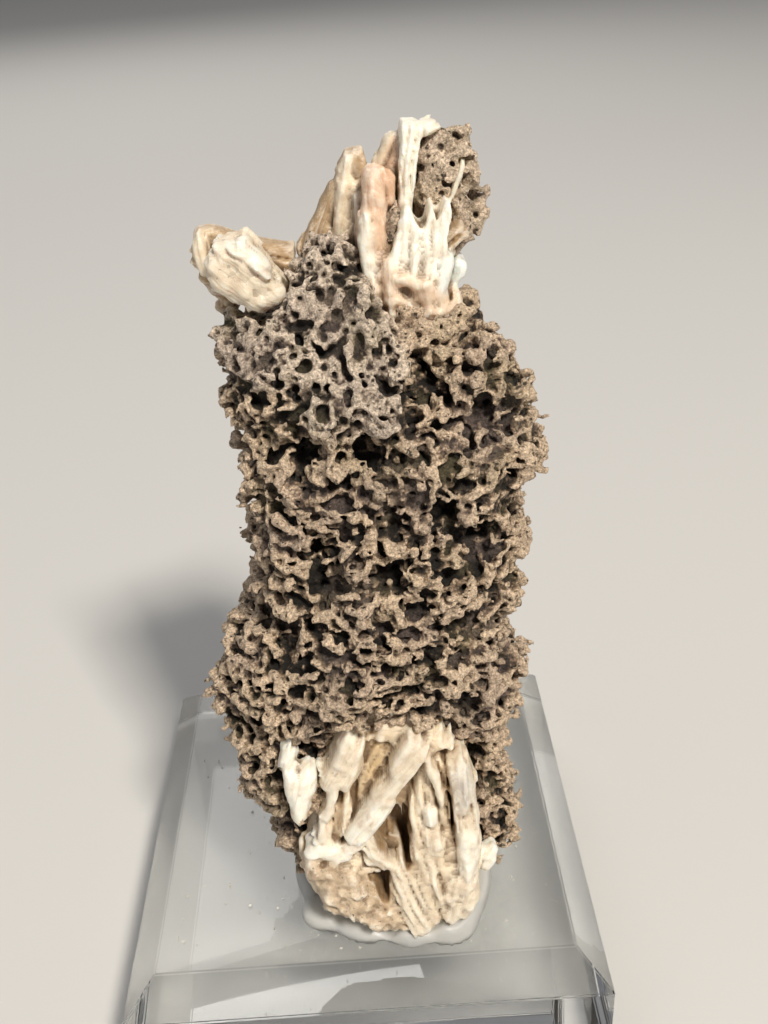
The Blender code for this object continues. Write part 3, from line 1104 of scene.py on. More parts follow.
@dataclass
class SpongeMass:
    """The porous mass of chlorargyrite, sculpted round its CAD solid.

    The grid's step and the wider one of the far side come first, then how deep the mass starts
    under its solid and how far the knobs rise again. The zones' borders are an x, a height or both.
    The lumps are places off the middle plane with a radius, the swellings are on the front
    surface, and the hollows have a width, a height and a depth.
    """

    step: float = 0.30
    back_step: float = 0.56
    back_from: float = 2.0
    knot_spacing: float = 1.3
    recess: float = 1.4
    rise: float = 0.25
    core_depth: float = 2.7
    seed_level: float = 0.9
    seed_depth: float = 1.9
    seed_tries: int = 60000
    pit_level: float = 0.1
    pit_tries: int = 170000
    share: float = 0.6
    joint: float = 0.12
    joint_wave: float = 0.8
    seed: int = 7
    back_depth: float = 4.0
    foam_above: float = 85.5
    foam_tilt: float = 0.25
    foam_foot: float = 79.0
    foam_right: float = 11.5
    foam_back: float = 6.0
    foam_fade: float = 3.0
    lumps_from: Pair = (13.0, 70.0)
    flank_below: Pair = (-5.0, 57.0)
    knob_sink: float = 0.25
    knob_scatter: float = 0.35
    knob_range: Pair = (-1.25, 0.22)
    relief_pull: float = 0.62
    cup_radius: Pair = (0.4, 0.75)
    cave_width: Pair = (0.6, 1.5)
    cave_height: Pair = (0.4, 0.75)
    curl_radius: Pair = (0.7, 1.6)
    curl_wall: Pair = (0.4, 0.6)
    terrace_at: Triple = (3.2, -15.0, 43.6)
    terrace_size: Triple = (6.6, 7.0, 4.6)
    terrace_bow: Triple = (4.5, -13.0, 58.0)
    terrace_first: float = 11.0
    terrace_pitch: float = 1.9
    lumps: tuple[tuple[float, float, float, float], ...] = (
        (13.4, -7.4, 95.0, 1.9), (16.2, -8.0, 94.2, 2.3), (14.9, -7.9, 91.8, 2.3),
        (11.6, -7.2, 95.8, 1.5), (18.7, -7.2, 95.2, 1.7), (17.4, -7.6, 91.6, 1.8),
    )
    swellings: tuple[tuple[float, float, float], ...] = (
        (17.7, 47.0, 2.3), (22.6, 63.6, 2.1), (15.5, 41.0, 2.2),
        (20.0, 41.4, 2.0), (1.2, 78.0, 3.2), (6.9, 59.5, 2.0),
        (-1.6, 46.5, 2.4), (21.5, 78.6, 2.8), (18.4, 83.6, 2.6),
    )
    slab_heights: tuple[float, ...] = (27.0, 48.0, 68.0, 86.0)
    back_heights: tuple[float, ...] = (52.0,)
    hollows: tuple[tuple[float, float, float, float, float], ...] = (
        (21.0, 84.0, 3.2, 1.9, 4.0), (15.2, 72.0, 2.4, 2.9, 4.5), (8.5, 71.5, 2.3, 2.0, 3.6),
        (11.5, 75.5, 2.0, 1.7, 3.0), (-2.0, 81.5, 1.9, 1.3, 3.4), (5.0, 82.5, 1.6, 1.1, 3.0),
        (2.0, 78.0, 2.3, 1.4, 3.0), (2.0, 72.0, 2.0, 1.8, 3.4), (-2.0, 67.5, 2.3, 1.8, 3.4),
        (14.0, 67.0, 2.0, 2.3, 3.6), (19.5, 67.5, 2.2, 2.5, 3.8), (7.5, 63.5, 3.0, 2.0, 3.8),
        (15.5, 63.5, 1.9, 1.8, 3.2), (-1.5, 62.5, 2.0, 2.0, 3.4), (11.0, 59.0, 1.9, 2.0, 3.4),
        (17.5, 55.0, 2.2, 2.6, 3.8), (-7.0, 55.0, 1.9, 2.0, 3.0), (6.0, 51.0, 1.8, 1.6, 3.0),
        (17.5, 41.0, 2.3, 2.9, 3.6), (-4.5, 38.0, 2.0, 2.2, 3.0), (15.0, 92.0, 1.6, 1.5, 3.4),
        (-8.5, 88.5, 1.0, 0.9, 2.4), (-4.5, 87.0, 0.9, 1.0, 2.4), (-8.0, 83.0, 1.1, 0.9, 2.4),
        (-4.5, 91.0, 0.9, 0.9, 2.4), (5.0, 102.2, 1.3, 1.3, 2.6),
    )

    def build(self, finish: Finish) -> list[Piece]:
        """Sculpts the mass and makes its slabs.

        Args:
            finish: the sponge's material.

        Returns:
            The pieces, from the foot up, the shown side first.
        """
        box = box_mm("sponge_mass")
        self.top = block_top()
        self.grid = Grid.around(*box, self.step * coarseness(), 1.2)
        self.form = solid_distance("sponge_mass", self.grid, self.knot_spacing)
        self.relief = swell(self.grid, (3.4, 3.4, 2.3), self.seed + 5)
        self.rng = np.random.default_rng(self.seed)
        self.values = self.form + self.recess
        seeds = self._seeds(self.form, -self.seed_level, lambda habit: habit.knob_room, self.seed_tries)
        log.info("sponge: %d knobs", len(seeds))
        self._grow_knobs(seeds)
        self._foam_skin()
        self._terraces()
        self._open_caves(seeds)
        self._curl(seeds)
        self._pit()
        self._roughen()
        self.values = held_in(self.values, self.grid, box)
        self.values = np.minimum(self.values, self.form + self.core_depth)
        self._sink_hollows()
        core = (self.form < -self.core_depth) & (self.values < 0)
        self.values = keep_attached(self.values, core, BARE * self.grid.step)
        return self._slabs(finish)

    def zone(self, x: float, depth: float, height: float) -> Zone:
        """The habit at a place on the surface.

        Args:
            x: to the right.
            depth: behind the middle plane.
            height: over the block.

        Returns:
            The zone.
        """
        foam_floor = max(self.foam_above - self.foam_tilt * x, self.foam_foot)
        if depth > self.back_depth:
            return Zone.BACK
        if height > foam_floor and x < self.foam_right:
            return Zone.FOAM
        if x > self.lumps_from[0] and height > self.lumps_from[1]:
            return Zone.LUMPS
        if x < self.flank_below[0] and height < self.flank_below[1]:
            return Zone.FLANK
        return Zone.LEDGES

    def _to_specimen(self, point: Array) -> Triple:
        """Turns a row-frame place into x, depth and height."""
        height = point[2] - self.top
        return point[0], point[1] - PLANE_Y - LEAN * height, height

    def _seeds(
        self, field: Array, level: float, room: Callable[[Habit], float], most: int
    ) -> list[Seed]:
        """Spreads growth points evenly over a surface.

        Args:
            field: distances from the surface, below zero inside.
            level: the points' distance from it.
            room: gives the least distance between points from a habit.
            most: how many places are tried.

        Returns:
            The growth points.
        """
        ring = (np.abs(field - level) < 0.6 * self.grid.step) & (self.form > -self.seed_depth)
        band = np.argwhere(ring)
        self.rng.shuffle(band)
        band = band[:most]
        slopes = [self._slope(field, band, axis) for axis in range(3)]
        outward = np.stack(slopes, axis=1)
        outward /= np.linalg.norm(outward, axis=1)[:, None] + 1e-9
        places = np.array(self.grid.low) + self.grid.step * band
        reliefs = self.relief[tuple(band.T)]
        cells: dict[tuple[int, int, int], list[Array]] = {}
        kept = []
        size = max(room(habit) for habit in HABITS.values())
        around = [(a, b, c) for a in (-1, 0, 1) for b in (-1, 0, 1) for c in (-1, 0, 1)]
        for place, normal, relief in zip(places, outward, reliefs):
            habit = HABITS[self.zone(*self._to_specimen(place))]
            least = room(habit) ** 2
            x, y, z = (int(v // size) for v in place)
            near = [p for a, b, c in around for p in cells.get((x + a, y + b, z + c), ())]
            if near and ((np.array(near) - place) ** 2).sum(1).min() < least:
                continue
            cells.setdefault((x, y, z), []).append(place)
            kept.append((place, normal, habit, float(relief)))
        return kept

    def _slope(self, field: Array, cells: Array, axis: int) -> Array:
        """A field's slope along one axis at some grid points.

        Args:
            field: the field.
            cells: the grid points.
            axis: the axis.

        Returns:
            The field's change over four steps.
        """
        ahead, behind = cells.copy(), cells.copy()
        ahead[:, axis] = np.minimum(ahead[:, axis] + 2, field.shape[axis] - 1)
        behind[:, axis] = np.maximum(behind[:, axis] - 2, 0)
        return field[tuple(ahead.T)] - field[tuple(behind.T)]

    def _grow_knobs(self, seeds: list[Seed]) -> None:
        """Adds a rounded knob at each growth point, lower or none where the relief is low.

        Args:
            seeds: the growth points.
        """
        grid = self.grid
        lowest, highest = self.knob_range
        waver = 0.32 * swell(grid, (1.5, 1.5, 1.1), self.seed + 1)
        for place, normal, habit, relief in seeds:
            radius = self.rng.uniform(*habit.knob_radius)
            scatter = self.rng.uniform(-self.knob_scatter, self.knob_scatter)
            jump = min(self.relief_pull * relief - self.knob_sink + scatter, highest)
            stretch = self.rng.uniform(0.8, 1.15)
            tilt = self.rng.uniform(-0.35, 0.35)
            if jump < lowest:
                continue
            jump += habit.lift
            centre = place + normal * (self.seed_level + self.rise + jump - radius)
            window = grid.window(centre, radius * 1.35 + 1.0)
            if window is None:
                continue
            dx, dy, dz = grid.offsets(centre, window)
            lift = dz * habit.flatness + tilt * dx
            ball = np.sqrt((dx * stretch) ** 2 + dy**2 + lift**2) - radius
            self.values[window] = melt(self.values[window], ball + waver[window], 0.3)
        self._add_lumps(waver)

    def _add_lumps(self, waver: Array) -> None:
        """Adds the placed lumps and swellings.

        Args:
            waver: the unevenness of their surface.
        """
        grid = self.grid
        lumps = [(specimen_point(x, depth, height), radius) for x, depth, height, radius in self.lumps]
        for x, height, radius in self.swellings:
            front = self._front_place(x, height)
            if front is not None:
                lumps.append((tuple(front + np.array((0.0, 0.62 * radius - 0.6, 0.0))), radius))
        for centre, radius in lumps:
            window = grid.window(centre, radius + 1.5)
            dx, dy, dz = grid.offsets(centre, window)
            ball = np.sqrt(dx**2 + (dy * 1.2) ** 2 + dz**2) - radius
            self.values[window] = melt(self.values[window], ball + 1.6 * waver[window], 0.5)

    def _foam_skin(self) -> None:
        """Lays a nearly closed skin over the foam, for the round pits to open."""
        x, y, z = self.grid.axes()
        height = z - self.top
        depth = y - PLANE_Y - LEAN * height
        inside = np.minimum(height - (self.foam_above - self.foam_tilt * x), self.foam_right - x)
        inside = np.minimum(inside, self.foam_back - depth) + 1.2 * self.relief
        share = np.clip(inside / self.foam_fade, 0.0, 1.0)
        skin = self.form + 0.12 + 1.7 * (1.0 - share) - 0.30 * self.relief
        self.foam = np.broadcast_to(share, self.form.shape).astype(np.float32)
        self.values = np.where(share > 0, melt(self.values, skin, 0.4), self.values)

    def _terraces(self) -> None:
        """Adds the thin curved shelves above the foot's crystals."""
        centre = specimen_point(*self.terrace_at)
        wide, deep, tall = self.terrace_size
        window = self.grid.window(centre, 8.5)
        dx, _, dz = self.grid.offsets(specimen_point(*self.terrace_bow), window)
        arc = np.sqrt((dx * 0.75) ** 2 + dz**2) + 0.22 * self.relief[window]
        wave = np.cos(2 * math.pi * (arc - self.terrace_first) / self.terrace_pitch)
        px, py, pz = self.grid.offsets(centre, window)
        away = np.sqrt((px / wide) ** 2 + (pz / tall) ** 2 + (py / deep) ** 2)
        share = np.clip((1.0 - away) / 0.25, 0.0, 1.0)
        shelf = self.form[window] + 0.85 - 1.05 * wave
        self.values[window] = self.values[window] * (1 - share) + shelf * share

    def _open_caves(self, seeds: list[Seed]) -> None:
        """Cuts cups into knobs and caves under ledges.

        Args:
            seeds: the growth points.
        """
        for place, normal, habit, relief in seeds:
            draw = self.rng.random(2)
            if draw[0] < habit.cup_share:
                radius = self.rng.uniform(*self.cup_radius)
                self._dig(place + normal * 1.0, (radius, radius * 1.3, radius), 0.15)
            if draw[1] < habit.cave_share - 0.25 * relief:
                width = self.rng.uniform(*self.cave_width)
                tall = self.rng.uniform(*self.cave_height)
                under = place + normal * 0.3 - np.array((0, 0, 1.15 + tall * 0.4))
                self._dig(under, (width, 1.9, tall), 0.35)

    def _sink_hollows(self) -> None:
        """Cuts the deep hollows of the shown side."""
        for x, height, wide, tall, deep in self.hollows:
            centre = self._front_place(x, height)
            if centre is not None:
                self._dig(centre, (wide, deep, tall), 0.9)

    def _front_place(self, x: float, height: float) -> Array | None:
        """The form's front surface at an x and a height.

        Args:
            x: to the right.
            height: over the block.

        Returns:
            The place just inside it, or None where the form has no point there.
        """
        grid = self.grid
        row = specimen_point(x, 0.0, height)
        i = int((row[0] - grid.low[0]) / grid.step)
        k = int((row[2] - grid.low[2]) / grid.step)
        inside = np.nonzero(self.form[i, :, k] < 0)[0]
        if not len(inside):
            return None
        return np.array((row[0], grid.low[1] + grid.step * inside[0] + 0.4, row[2]))

    def _dig(self, centre: Array, radii: Triple, ragged: float) -> None:
        """Cuts an egg-shaped hollow with a ragged wall.

        Args:
            centre: the hollow's middle.
            radii: its half sizes.
            ragged: how uneven its wall is.
        """
        window = self.grid.window(tuple(centre), max(radii) + 0.8)
        if window is None:
            return
        dx, dy, dz = self.grid.offsets(tuple(centre), window)
        egg = np.sqrt((dx / radii[0]) ** 2 + (dy / radii[1]) ** 2 + (dz / radii[2]) ** 2) - 1.0
        a, b, c = self.rng.uniform(0, 2 * math.pi, 3)
        waves = np.sin(dx * 3.1 + a) + np.sin(dz * 3.7 + b) + np.sin(dy * 2.9 + c)
        egg = egg * min(radii) + ragged * 0.4 * waves
        self.values[window] = np.maximum(self.values[window], -egg)

    def _curl(self, seeds: list[Seed]) -> None:
        """Adds thin curled walls: open cups that lean out of the surface.

        Args:
            seeds: the growth points.
        """
        for place, normal, habit, relief in seeds:
            if self.rng.random() > habit.curl_share:
                continue
            radius = self.rng.uniform(*self.curl_radius)
            wall = self.rng.uniform(*self.curl_wall)
            lean = np.array((self.rng.uniform(-0.6, 0.6), 0.0, self.rng.uniform(-1.0, 0.3)))
            mouth = normal + lean
            mouth /= np.linalg.norm(mouth)
            centre = place + normal * (1.05 - radius * 0.7 + min(0.4 * relief, 0.1))
            window = self.grid.window(tuple(centre), radius + 1.0)
            if window is None:
                continue
            dx, dy, dz = self.grid.offsets(tuple(centre), window)
            dz = dz * 1.25
            ball = np.sqrt(dx * dx + dy * dy + dz * dz) + 0.8 * self.relief[window] * 0.3
            shell = np.abs(ball - radius) - wall / 2
            opening = dx * mouth[0] + dy * mouth[1] + dz * mouth[2] - radius * 0.55
            cup = np.maximum(shell, opening)
            hollow = np.maximum(ball - radius + wall / 2, -(opening + radius * 0.9))
            here = np.maximum(self.values[window], -hollow)
            self.values[window] = melt(here, cup, 0.2)

    def _pit(self) -> None:
        """Opens small round pits all over."""
        pits = self._seeds(self.values, -self.pit_level, lambda habit: habit.pit_room, self.pit_tries)
        log.info("sponge: %d pits", len(pits))
        for place, normal, habit, _ in pits:
            radius = self.rng.uniform(*habit.pit_radius)
            sunk = place - normal * self.rng.uniform(-0.1, 0.45)
            tall = radius * self.rng.uniform(0.75, 1.2)
            self._dig(sunk, (radius, radius * 1.5, tall), 0.12)

    def _roughen(self) -> None:
        """Adds the surface's fine granular relief."""
        crests = 0.7 - 2.0 * np.abs(swell(self.grid, (1.35, 1.35, 1.2), self.seed + 6))
        self.values += 0.17 * swell(self.grid, (1.0, 1.0, 0.9), self.seed + 2) - 0.20 * crests
        self.values += 0.12 * swell(self.grid, (0.64, 0.64, 0.64), self.seed + 3)
        self.values += 0.06 * self.rng.standard_normal(self.values.shape, dtype=np.float32)

    def _slabs(self, finish: Finish) -> list[Piece]:
        """Cuts the mass into parts with wavy joints, and makes a mesh of each.

        The far side's parts are read from the same field with a wider step.

        Args:
            finish: the sponge's material.

        Returns:
            The pieces.
        """
        grid = self.grid
        near, wide = max(int(0.8 / grid.step), 1), max(int(1.5 / grid.step), 2)
        # shelter and depth carry the finish's painted highlight and shade; foam is the grey zone's own
        # colour.
        fields = {
            "shelter": sheltered(self.values, grid.step, near, wide),
            "depth": self.form,
            "foam": self.foam,
            "wave": swell(grid, (6.0, 6.0, 6.0), self.seed + 4),
        }
        pieces = self._cut("shown", self.values, grid, fields, self.slab_heights, -1.0, finish)
        far_y = PLANE_Y + self.back_from - 3.0
        far_low = (grid.low[0], max(far_y, grid.low[1]), grid.low[2])
        end = tuple(a + grid.step * (n - 1) for a, n in zip(grid.low, grid.shape))
        far = Grid.around(far_low, end, self.back_step * coarseness(), 0.0)
        far_fields = {name: resample(values, grid, far) for name, values in fields.items()}
        far_values = resample(blur(self.values, 1), grid, far)
        return pieces + self._cut("far", far_values, far, far_fields, self.back_heights, 1.0, finish)

    def _cut(
        self,
        side: str,
        whole: Array,
        grid: Grid,
        fields: dict[str, Array],
        heights: tuple[float, ...],
        sign: float,
        finish: Finish,
    ) -> list[Piece]:
        """Makes the meshes of one side.

        Args:
            side: the side's name.
            whole: the field.
            grid: its grid.
            fields: what the material reads, and the joints' wave.
            heights: where the side is cut across.
            sign: which side of the joint between shown and far side it keeps.
            finish: the sponge's material.

        Returns:
            The pieces, from the foot up.
        """
        _, y, z = grid.axes()
        wave = fields["wave"]
        depth = y - PLANE_Y - LEAN * (z - self.top)
        side_gap = sign * (self.back_from + self.joint_wave * wave - depth)
        halved = np.maximum(whole, side_gap - self.joint)
        limits = [-math.inf, *(h + self.top for h in heights), math.inf]
        spare = 3.0
        pieces = []
        for number, (low, high) in enumerate(zip(limits, limits[1:]), 1):
            first, last = 0, grid.shape[2]
            if low > -math.inf:
                first = int((low - spare - grid.low[2]) / grid.step)
            if high < math.inf:
                last = int((high + spare - grid.low[2]) / grid.step)
            cut = (slice(None), slice(None), slice(first, last))
            line, bend = z[:, :, first:last], self.joint_wave * wave[cut]
            below, above = low + bend - self.joint - line, line - high - bend - self.joint
            values = np.maximum(halved[cut], np.maximum(below, above))
            for axis in range(3):
                for end in (0, -1):
                    values[(slice(None),) * axis + (end,)] = grid.step
            values = settle(values, BARE * grid.step)
            start = (*grid.low[:2], grid.low[2] + first * grid.step)
            skin = Skin.of(values, Grid(start, grid.step, values.shape))
            marks = {name: skin.sample(field[cut]) for name, field in fields.items() if name != "wave"}
            piece = skin.build(f"sponge_{side}_{number}", marks, smooth=False, share=self.share)
            piece.data.materials.append(finish)
            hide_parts("sponge_mass")
            pieces.append(piece)
        return pieces


# --- The crystals

Outline = tuple[tuple[float, float], ...]


class Tone(Enum):
    """The crystals' body colours."""

    WHITE = (0.95, 0.90, 0.78)
    IVORY = (0.78, 0.68, 0.53)
    BLUSH = (0.80, 0.62, 0.46)
    STAINED = (0.62, 0.49, 0.345)
    BLUISH = (0.80, 0.85, 0.81)
    CREAM = (0.80, 0.67, 0.49)
    PEACH = (0.74, 0.51, 0.35)
    ORANGE = (0.64, 0.40, 0.26)
    TAN = (0.42, 0.285, 0.155)
    ROOT = (0.66, 0.49, 0.28)
    BROWN = (0.33, 0.21, 0.10)
    GREY = (0.55, 0.51, 0.45)
    EARTH = (0.40, 0.29, 0.18)


def streaks(across: Array, along: Array, width: float, seed: int) -> Array:
    """Irregular streaks that run along a direction, with unit spread.

    Args:
        across: places across the streaks.
        along: places along them.
        width: a streak's usual width.
        seed: the random seed.

    Returns:
        One value for each place.
    """
    rng = np.random.default_rng(seed)
    waves = 8
    total = 0.0
    for _ in range(waves):
        pitch = 2 * math.pi / (width * rng.uniform(0.9, 4.0))
        drift, phase, sway, start = rng.uniform((-0.10, 0, 0.15, 0), (0.10, 6.28, 0.6, 6.28))
        total = total + np.sin(across * pitch + along * drift * pitch + phase + np.sin(along * sway + start))
    return total / math.sqrt(waves / 2)


def outline_distance(x: Array, height: Array, outline: Outline) -> Array:
    """The distance from a closed outline, below zero inside it.

    Args:
        x: places to the right.
        height: places upward, on an axis of its own.
        outline: the corners.

    Returns:
        Distances over the two axes.
    """
    nearest, inside = np.inf, False
    for (x0, h0), (x1, h1) in zip(outline, outline[1:] + outline[:1]):
        run, climb = x1 - x0, h1 - h0
        share = ((x - x0) * run + (height - h0) * climb) / (run * run + climb * climb)
        share = np.clip(share, 0.0, 1.0)
        gap = np.hypot(x - x0 - share * run, height - h0 - share * climb)
        nearest = np.minimum(nearest, gap)
        level = (height >= min(h0, h1)) & (height < max(h0, h1))
        if climb:
            inside = inside ^ (level & (x < x0 + (height - h0) * run / climb))
    return np.where(inside, -nearest, nearest)


@dataclass(frozen=True)
class Slab:
    """One crystal or knot of crystals, given by its outline and its front and back faces.

    The outline's corners are (x, height over the block). The front is a depth off the middle
    plane, below zero before it, and the slope is its change along x and height. The grain is the
    direction of the fibres, in degrees from +X upward. The edge is the rounding's width, the rib
    and its width are the relief along the fibres, a leaf is one thin crystal's width and the jump
    its step. Ragged is the outline's unevenness, crust the grain of the surface, and fleck its
    stains. A hollow slab is a gap that cuts what comes before it in the cluster.
    """

    outline: Outline
    front: float
    thick: float
    tone: Tone = Tone.CREAM
    grain: float = 90.0
    edge: float = 1.1
    slope: Pair = (0.0, 0.0)
    rib: float = 0.14
    rib_width: float = 0.7
    leaf: float = 0.0
    jump: float = 0.35
    ragged: float = 0.1
    crust: float = 0.07
    fleck: float = 0.0
    hollow: bool = False

    def middle(self) -> Pair:
        """The middle of the outline's box."""
        xs, heights = zip(*self.outline)
        return (min(xs) + max(xs)) / 2, (min(heights) + max(heights)) / 2

    def fibre(self, x: Array, height: Array) -> tuple[Array, Array]:
        """How far places lie across and along the fibres from the slab's middle.

        Args:
            x: places to the right.
            height: places upward.

        Returns:
            Places across, and places along.
        """
        turn = math.radians(self.grain)
        x, height = x - self.middle()[0], height - self.middle()[1]
        along = x * math.cos(turn) + height * math.sin(turn)
        return height * math.cos(turn) - x * math.sin(turn), along

    def window(self, grid: Grid) -> Window | None:
        """The part of a grid that the slab may change.

        Args:
            grid: the grid.

        Returns:
            One slice for each axis, or None where the slab misses the grid.
        """
        xs, heights = zip(*self.outline)
        spans = (max(xs) - min(xs), max(heights) - min(heights))
        reach = 1.5
        deep = reach + sum(abs(slope) * span for slope, span in zip(self.slope, spans))
        low = specimen_point(min(xs) - reach, self.front - deep, min(heights) - reach)
        high = specimen_point(max(xs) + reach, self.front + self.thick + deep, max(heights) + reach)
        return grid.between(low, high)

    def distance(self, grid: Grid, window: Window, seed: int) -> Array:
        """The slab's field over a window.

        Args:
            grid: the grid.
            window: the part of it to fill.
            seed: the random seed of its streaks.

        Returns:
            Distances, below zero inside.
        """
        x, y, height = grid.offsets(specimen_point(0.0, 0.0, 0.0), window)
        across, along = self.fibre(x, height)
        rim = outline_distance(x, height, self.outline)
        rim = rim + self.ragged * streaks(across, along, 0.8, seed)
        (tilt_x, tilt_height), (mid_x, mid_height) = self.slope, self.middle()
        front = self.front + tilt_x * (x - mid_x) + tilt_height * (height - mid_height)
        front = front + self.rib * streaks(across, along, self.rib_width, seed + 1)
        if self.leaf:
            front = front + self._leaves(across, along, seed)
        near = 1.0 - np.clip(-rim, 0.0, self.edge) / self.edge
        round_off = self.edge * (1.0 - np.sqrt(1.0 - near * near))
        depth = y - LEAN * height
        back = front + self.thick - 0.6 * round_off
        return np.maximum(rim, np.maximum(front + round_off - depth, depth - back))

    def _leaves(self, across: Array, along: Array, seed: int) -> Array:
        """The steps and seams between thin crystals that stand side by side.

        Args:
            across: places across the fibres.
            along: places along them.
            seed: the random seed.

        Returns:
            How far the front is set back at each place.
        """
        rng = np.random.default_rng(seed + 2)
        steps = rng.uniform(-1.0, 1.0, 64) * self.jump
        place = (across + 0.15 * np.sin(along * 0.7 + seed)) / self.leaf + 32.0
        number = np.clip(place.astype(int), 0, 63)
        part = place - number
        seam = np.exp(-((np.minimum(part, 1.0 - part) * self.leaf / 0.17) ** 2))
        return steps[number] + 0.45 * seam


@dataclass
class Cluster:
    """Crystals grown together, sculpted as one closed mesh in place of a CAD node."""

    name: str
    node: str
    slabs: tuple[Slab, ...]
    step: float = 0.26
    fillet: float = 0.3
    spill: float = 0.5
    seed: int = 31

    def build(self, finish: Finish) -> Piece:
        """Sculpts the cluster.

        Args:
            finish: the crystals' material.

        Returns:
            The piece.
        """
        box = box_mm(self.node)
        grid = Grid.around(*box, self.step * coarseness(), 1.0)
        values = np.full(grid.shape, 3.0, np.float32)
        owner = np.zeros(grid.shape, np.int8)
        for number, slab in enumerate(self.slabs):
            window = slab.window(grid)
            if window is None:
                continue
            found = slab.distance(grid, window, self.seed + 7 * number).astype(np.float32)
            here = values[window]
            if slab.hollow:
                owner[window][-found > here - 0.3] = number
                values[window] = np.maximum(here, -found)
            else:
                owner[window][found < here] = number
                values[window] = melt(here, found, self.fillet)
        crust = np.array([s.crust for s in self.slabs], np.float32)[owner]
        values += crust * swell(grid, (1.1, 1.1, 1.1), self.seed + 90)
        values += 0.7 * crust * swell(grid, (0.6, 0.6, 0.6), self.seed + 91)
        values = held_in(values, grid, box, (self.spill, self.spill))
        values = np.maximum(values, box[0][2] - grid.axes()[2])
        values = keep_attached(values, values == values.min(), BARE * grid.step)
        values = settle(values, BARE * grid.step)
        return self._dressed(grid, values, owner, finish)

    def _dressed(self, grid: Grid, values: Array, owner: Array, finish: Finish) -> Piece:
        """Makes the mesh with the marks that its material reads.

        Args:
            grid: the grid.
            values: the field.
            owner: the slab that each point is of.
            finish: the crystals' material.

        Returns:
            The piece.
        """
        skin = Skin.of(values, grid)
        palette = np.array([slab.tone.value for slab in self.slabs], np.float32)
        tone = np.stack([skin.sample(blur(palette[owner][..., i], 2)) for i in range(3)], axis=1)
        labels = np.random.default_rng(self.seed).uniform(0, 1, len(self.slabs))
        label = labels.astype(np.float32)[owner]
        border = blur(label * label, 1) - blur(label, 1) ** 2 > 1e-5
        pure = 1.0 - np.clip(2.0 * blur(border.astype(np.float32), 1), 0.0, 1.0)
        owners = owner[tuple(skin.cells.T)]
        across, along, fleck = (np.zeros(len(skin.points)) for _ in range(3))
        base = np.array(specimen_point(0.0, 0.0, 0.0))
        for number, slab in enumerate(self.slabs):
            mine = owners == number
            spots = skin.points[mine] - base
            u, s = slab.fibre(spots[:, 0], spots[:, 2])
            across[mine], along[mine] = u + 5.3 * number + 0.8 * spots[:, 1], s
            fleck[mine] = slab.fleck
        # shelter carries the finish's painted crevice shade and painted edge highlight.
        marks = {
            "tone": tone,
            "shelter": skin.sample(sheltered(values, grid.step)),
            "across": across,
            "along": along,
            "fleck": fleck,
            "pure": skin.sample(pure),
        }
        piece = skin.build(self.name, marks)
        piece.data.materials.append(finish)
        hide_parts(self.node)
        return piece


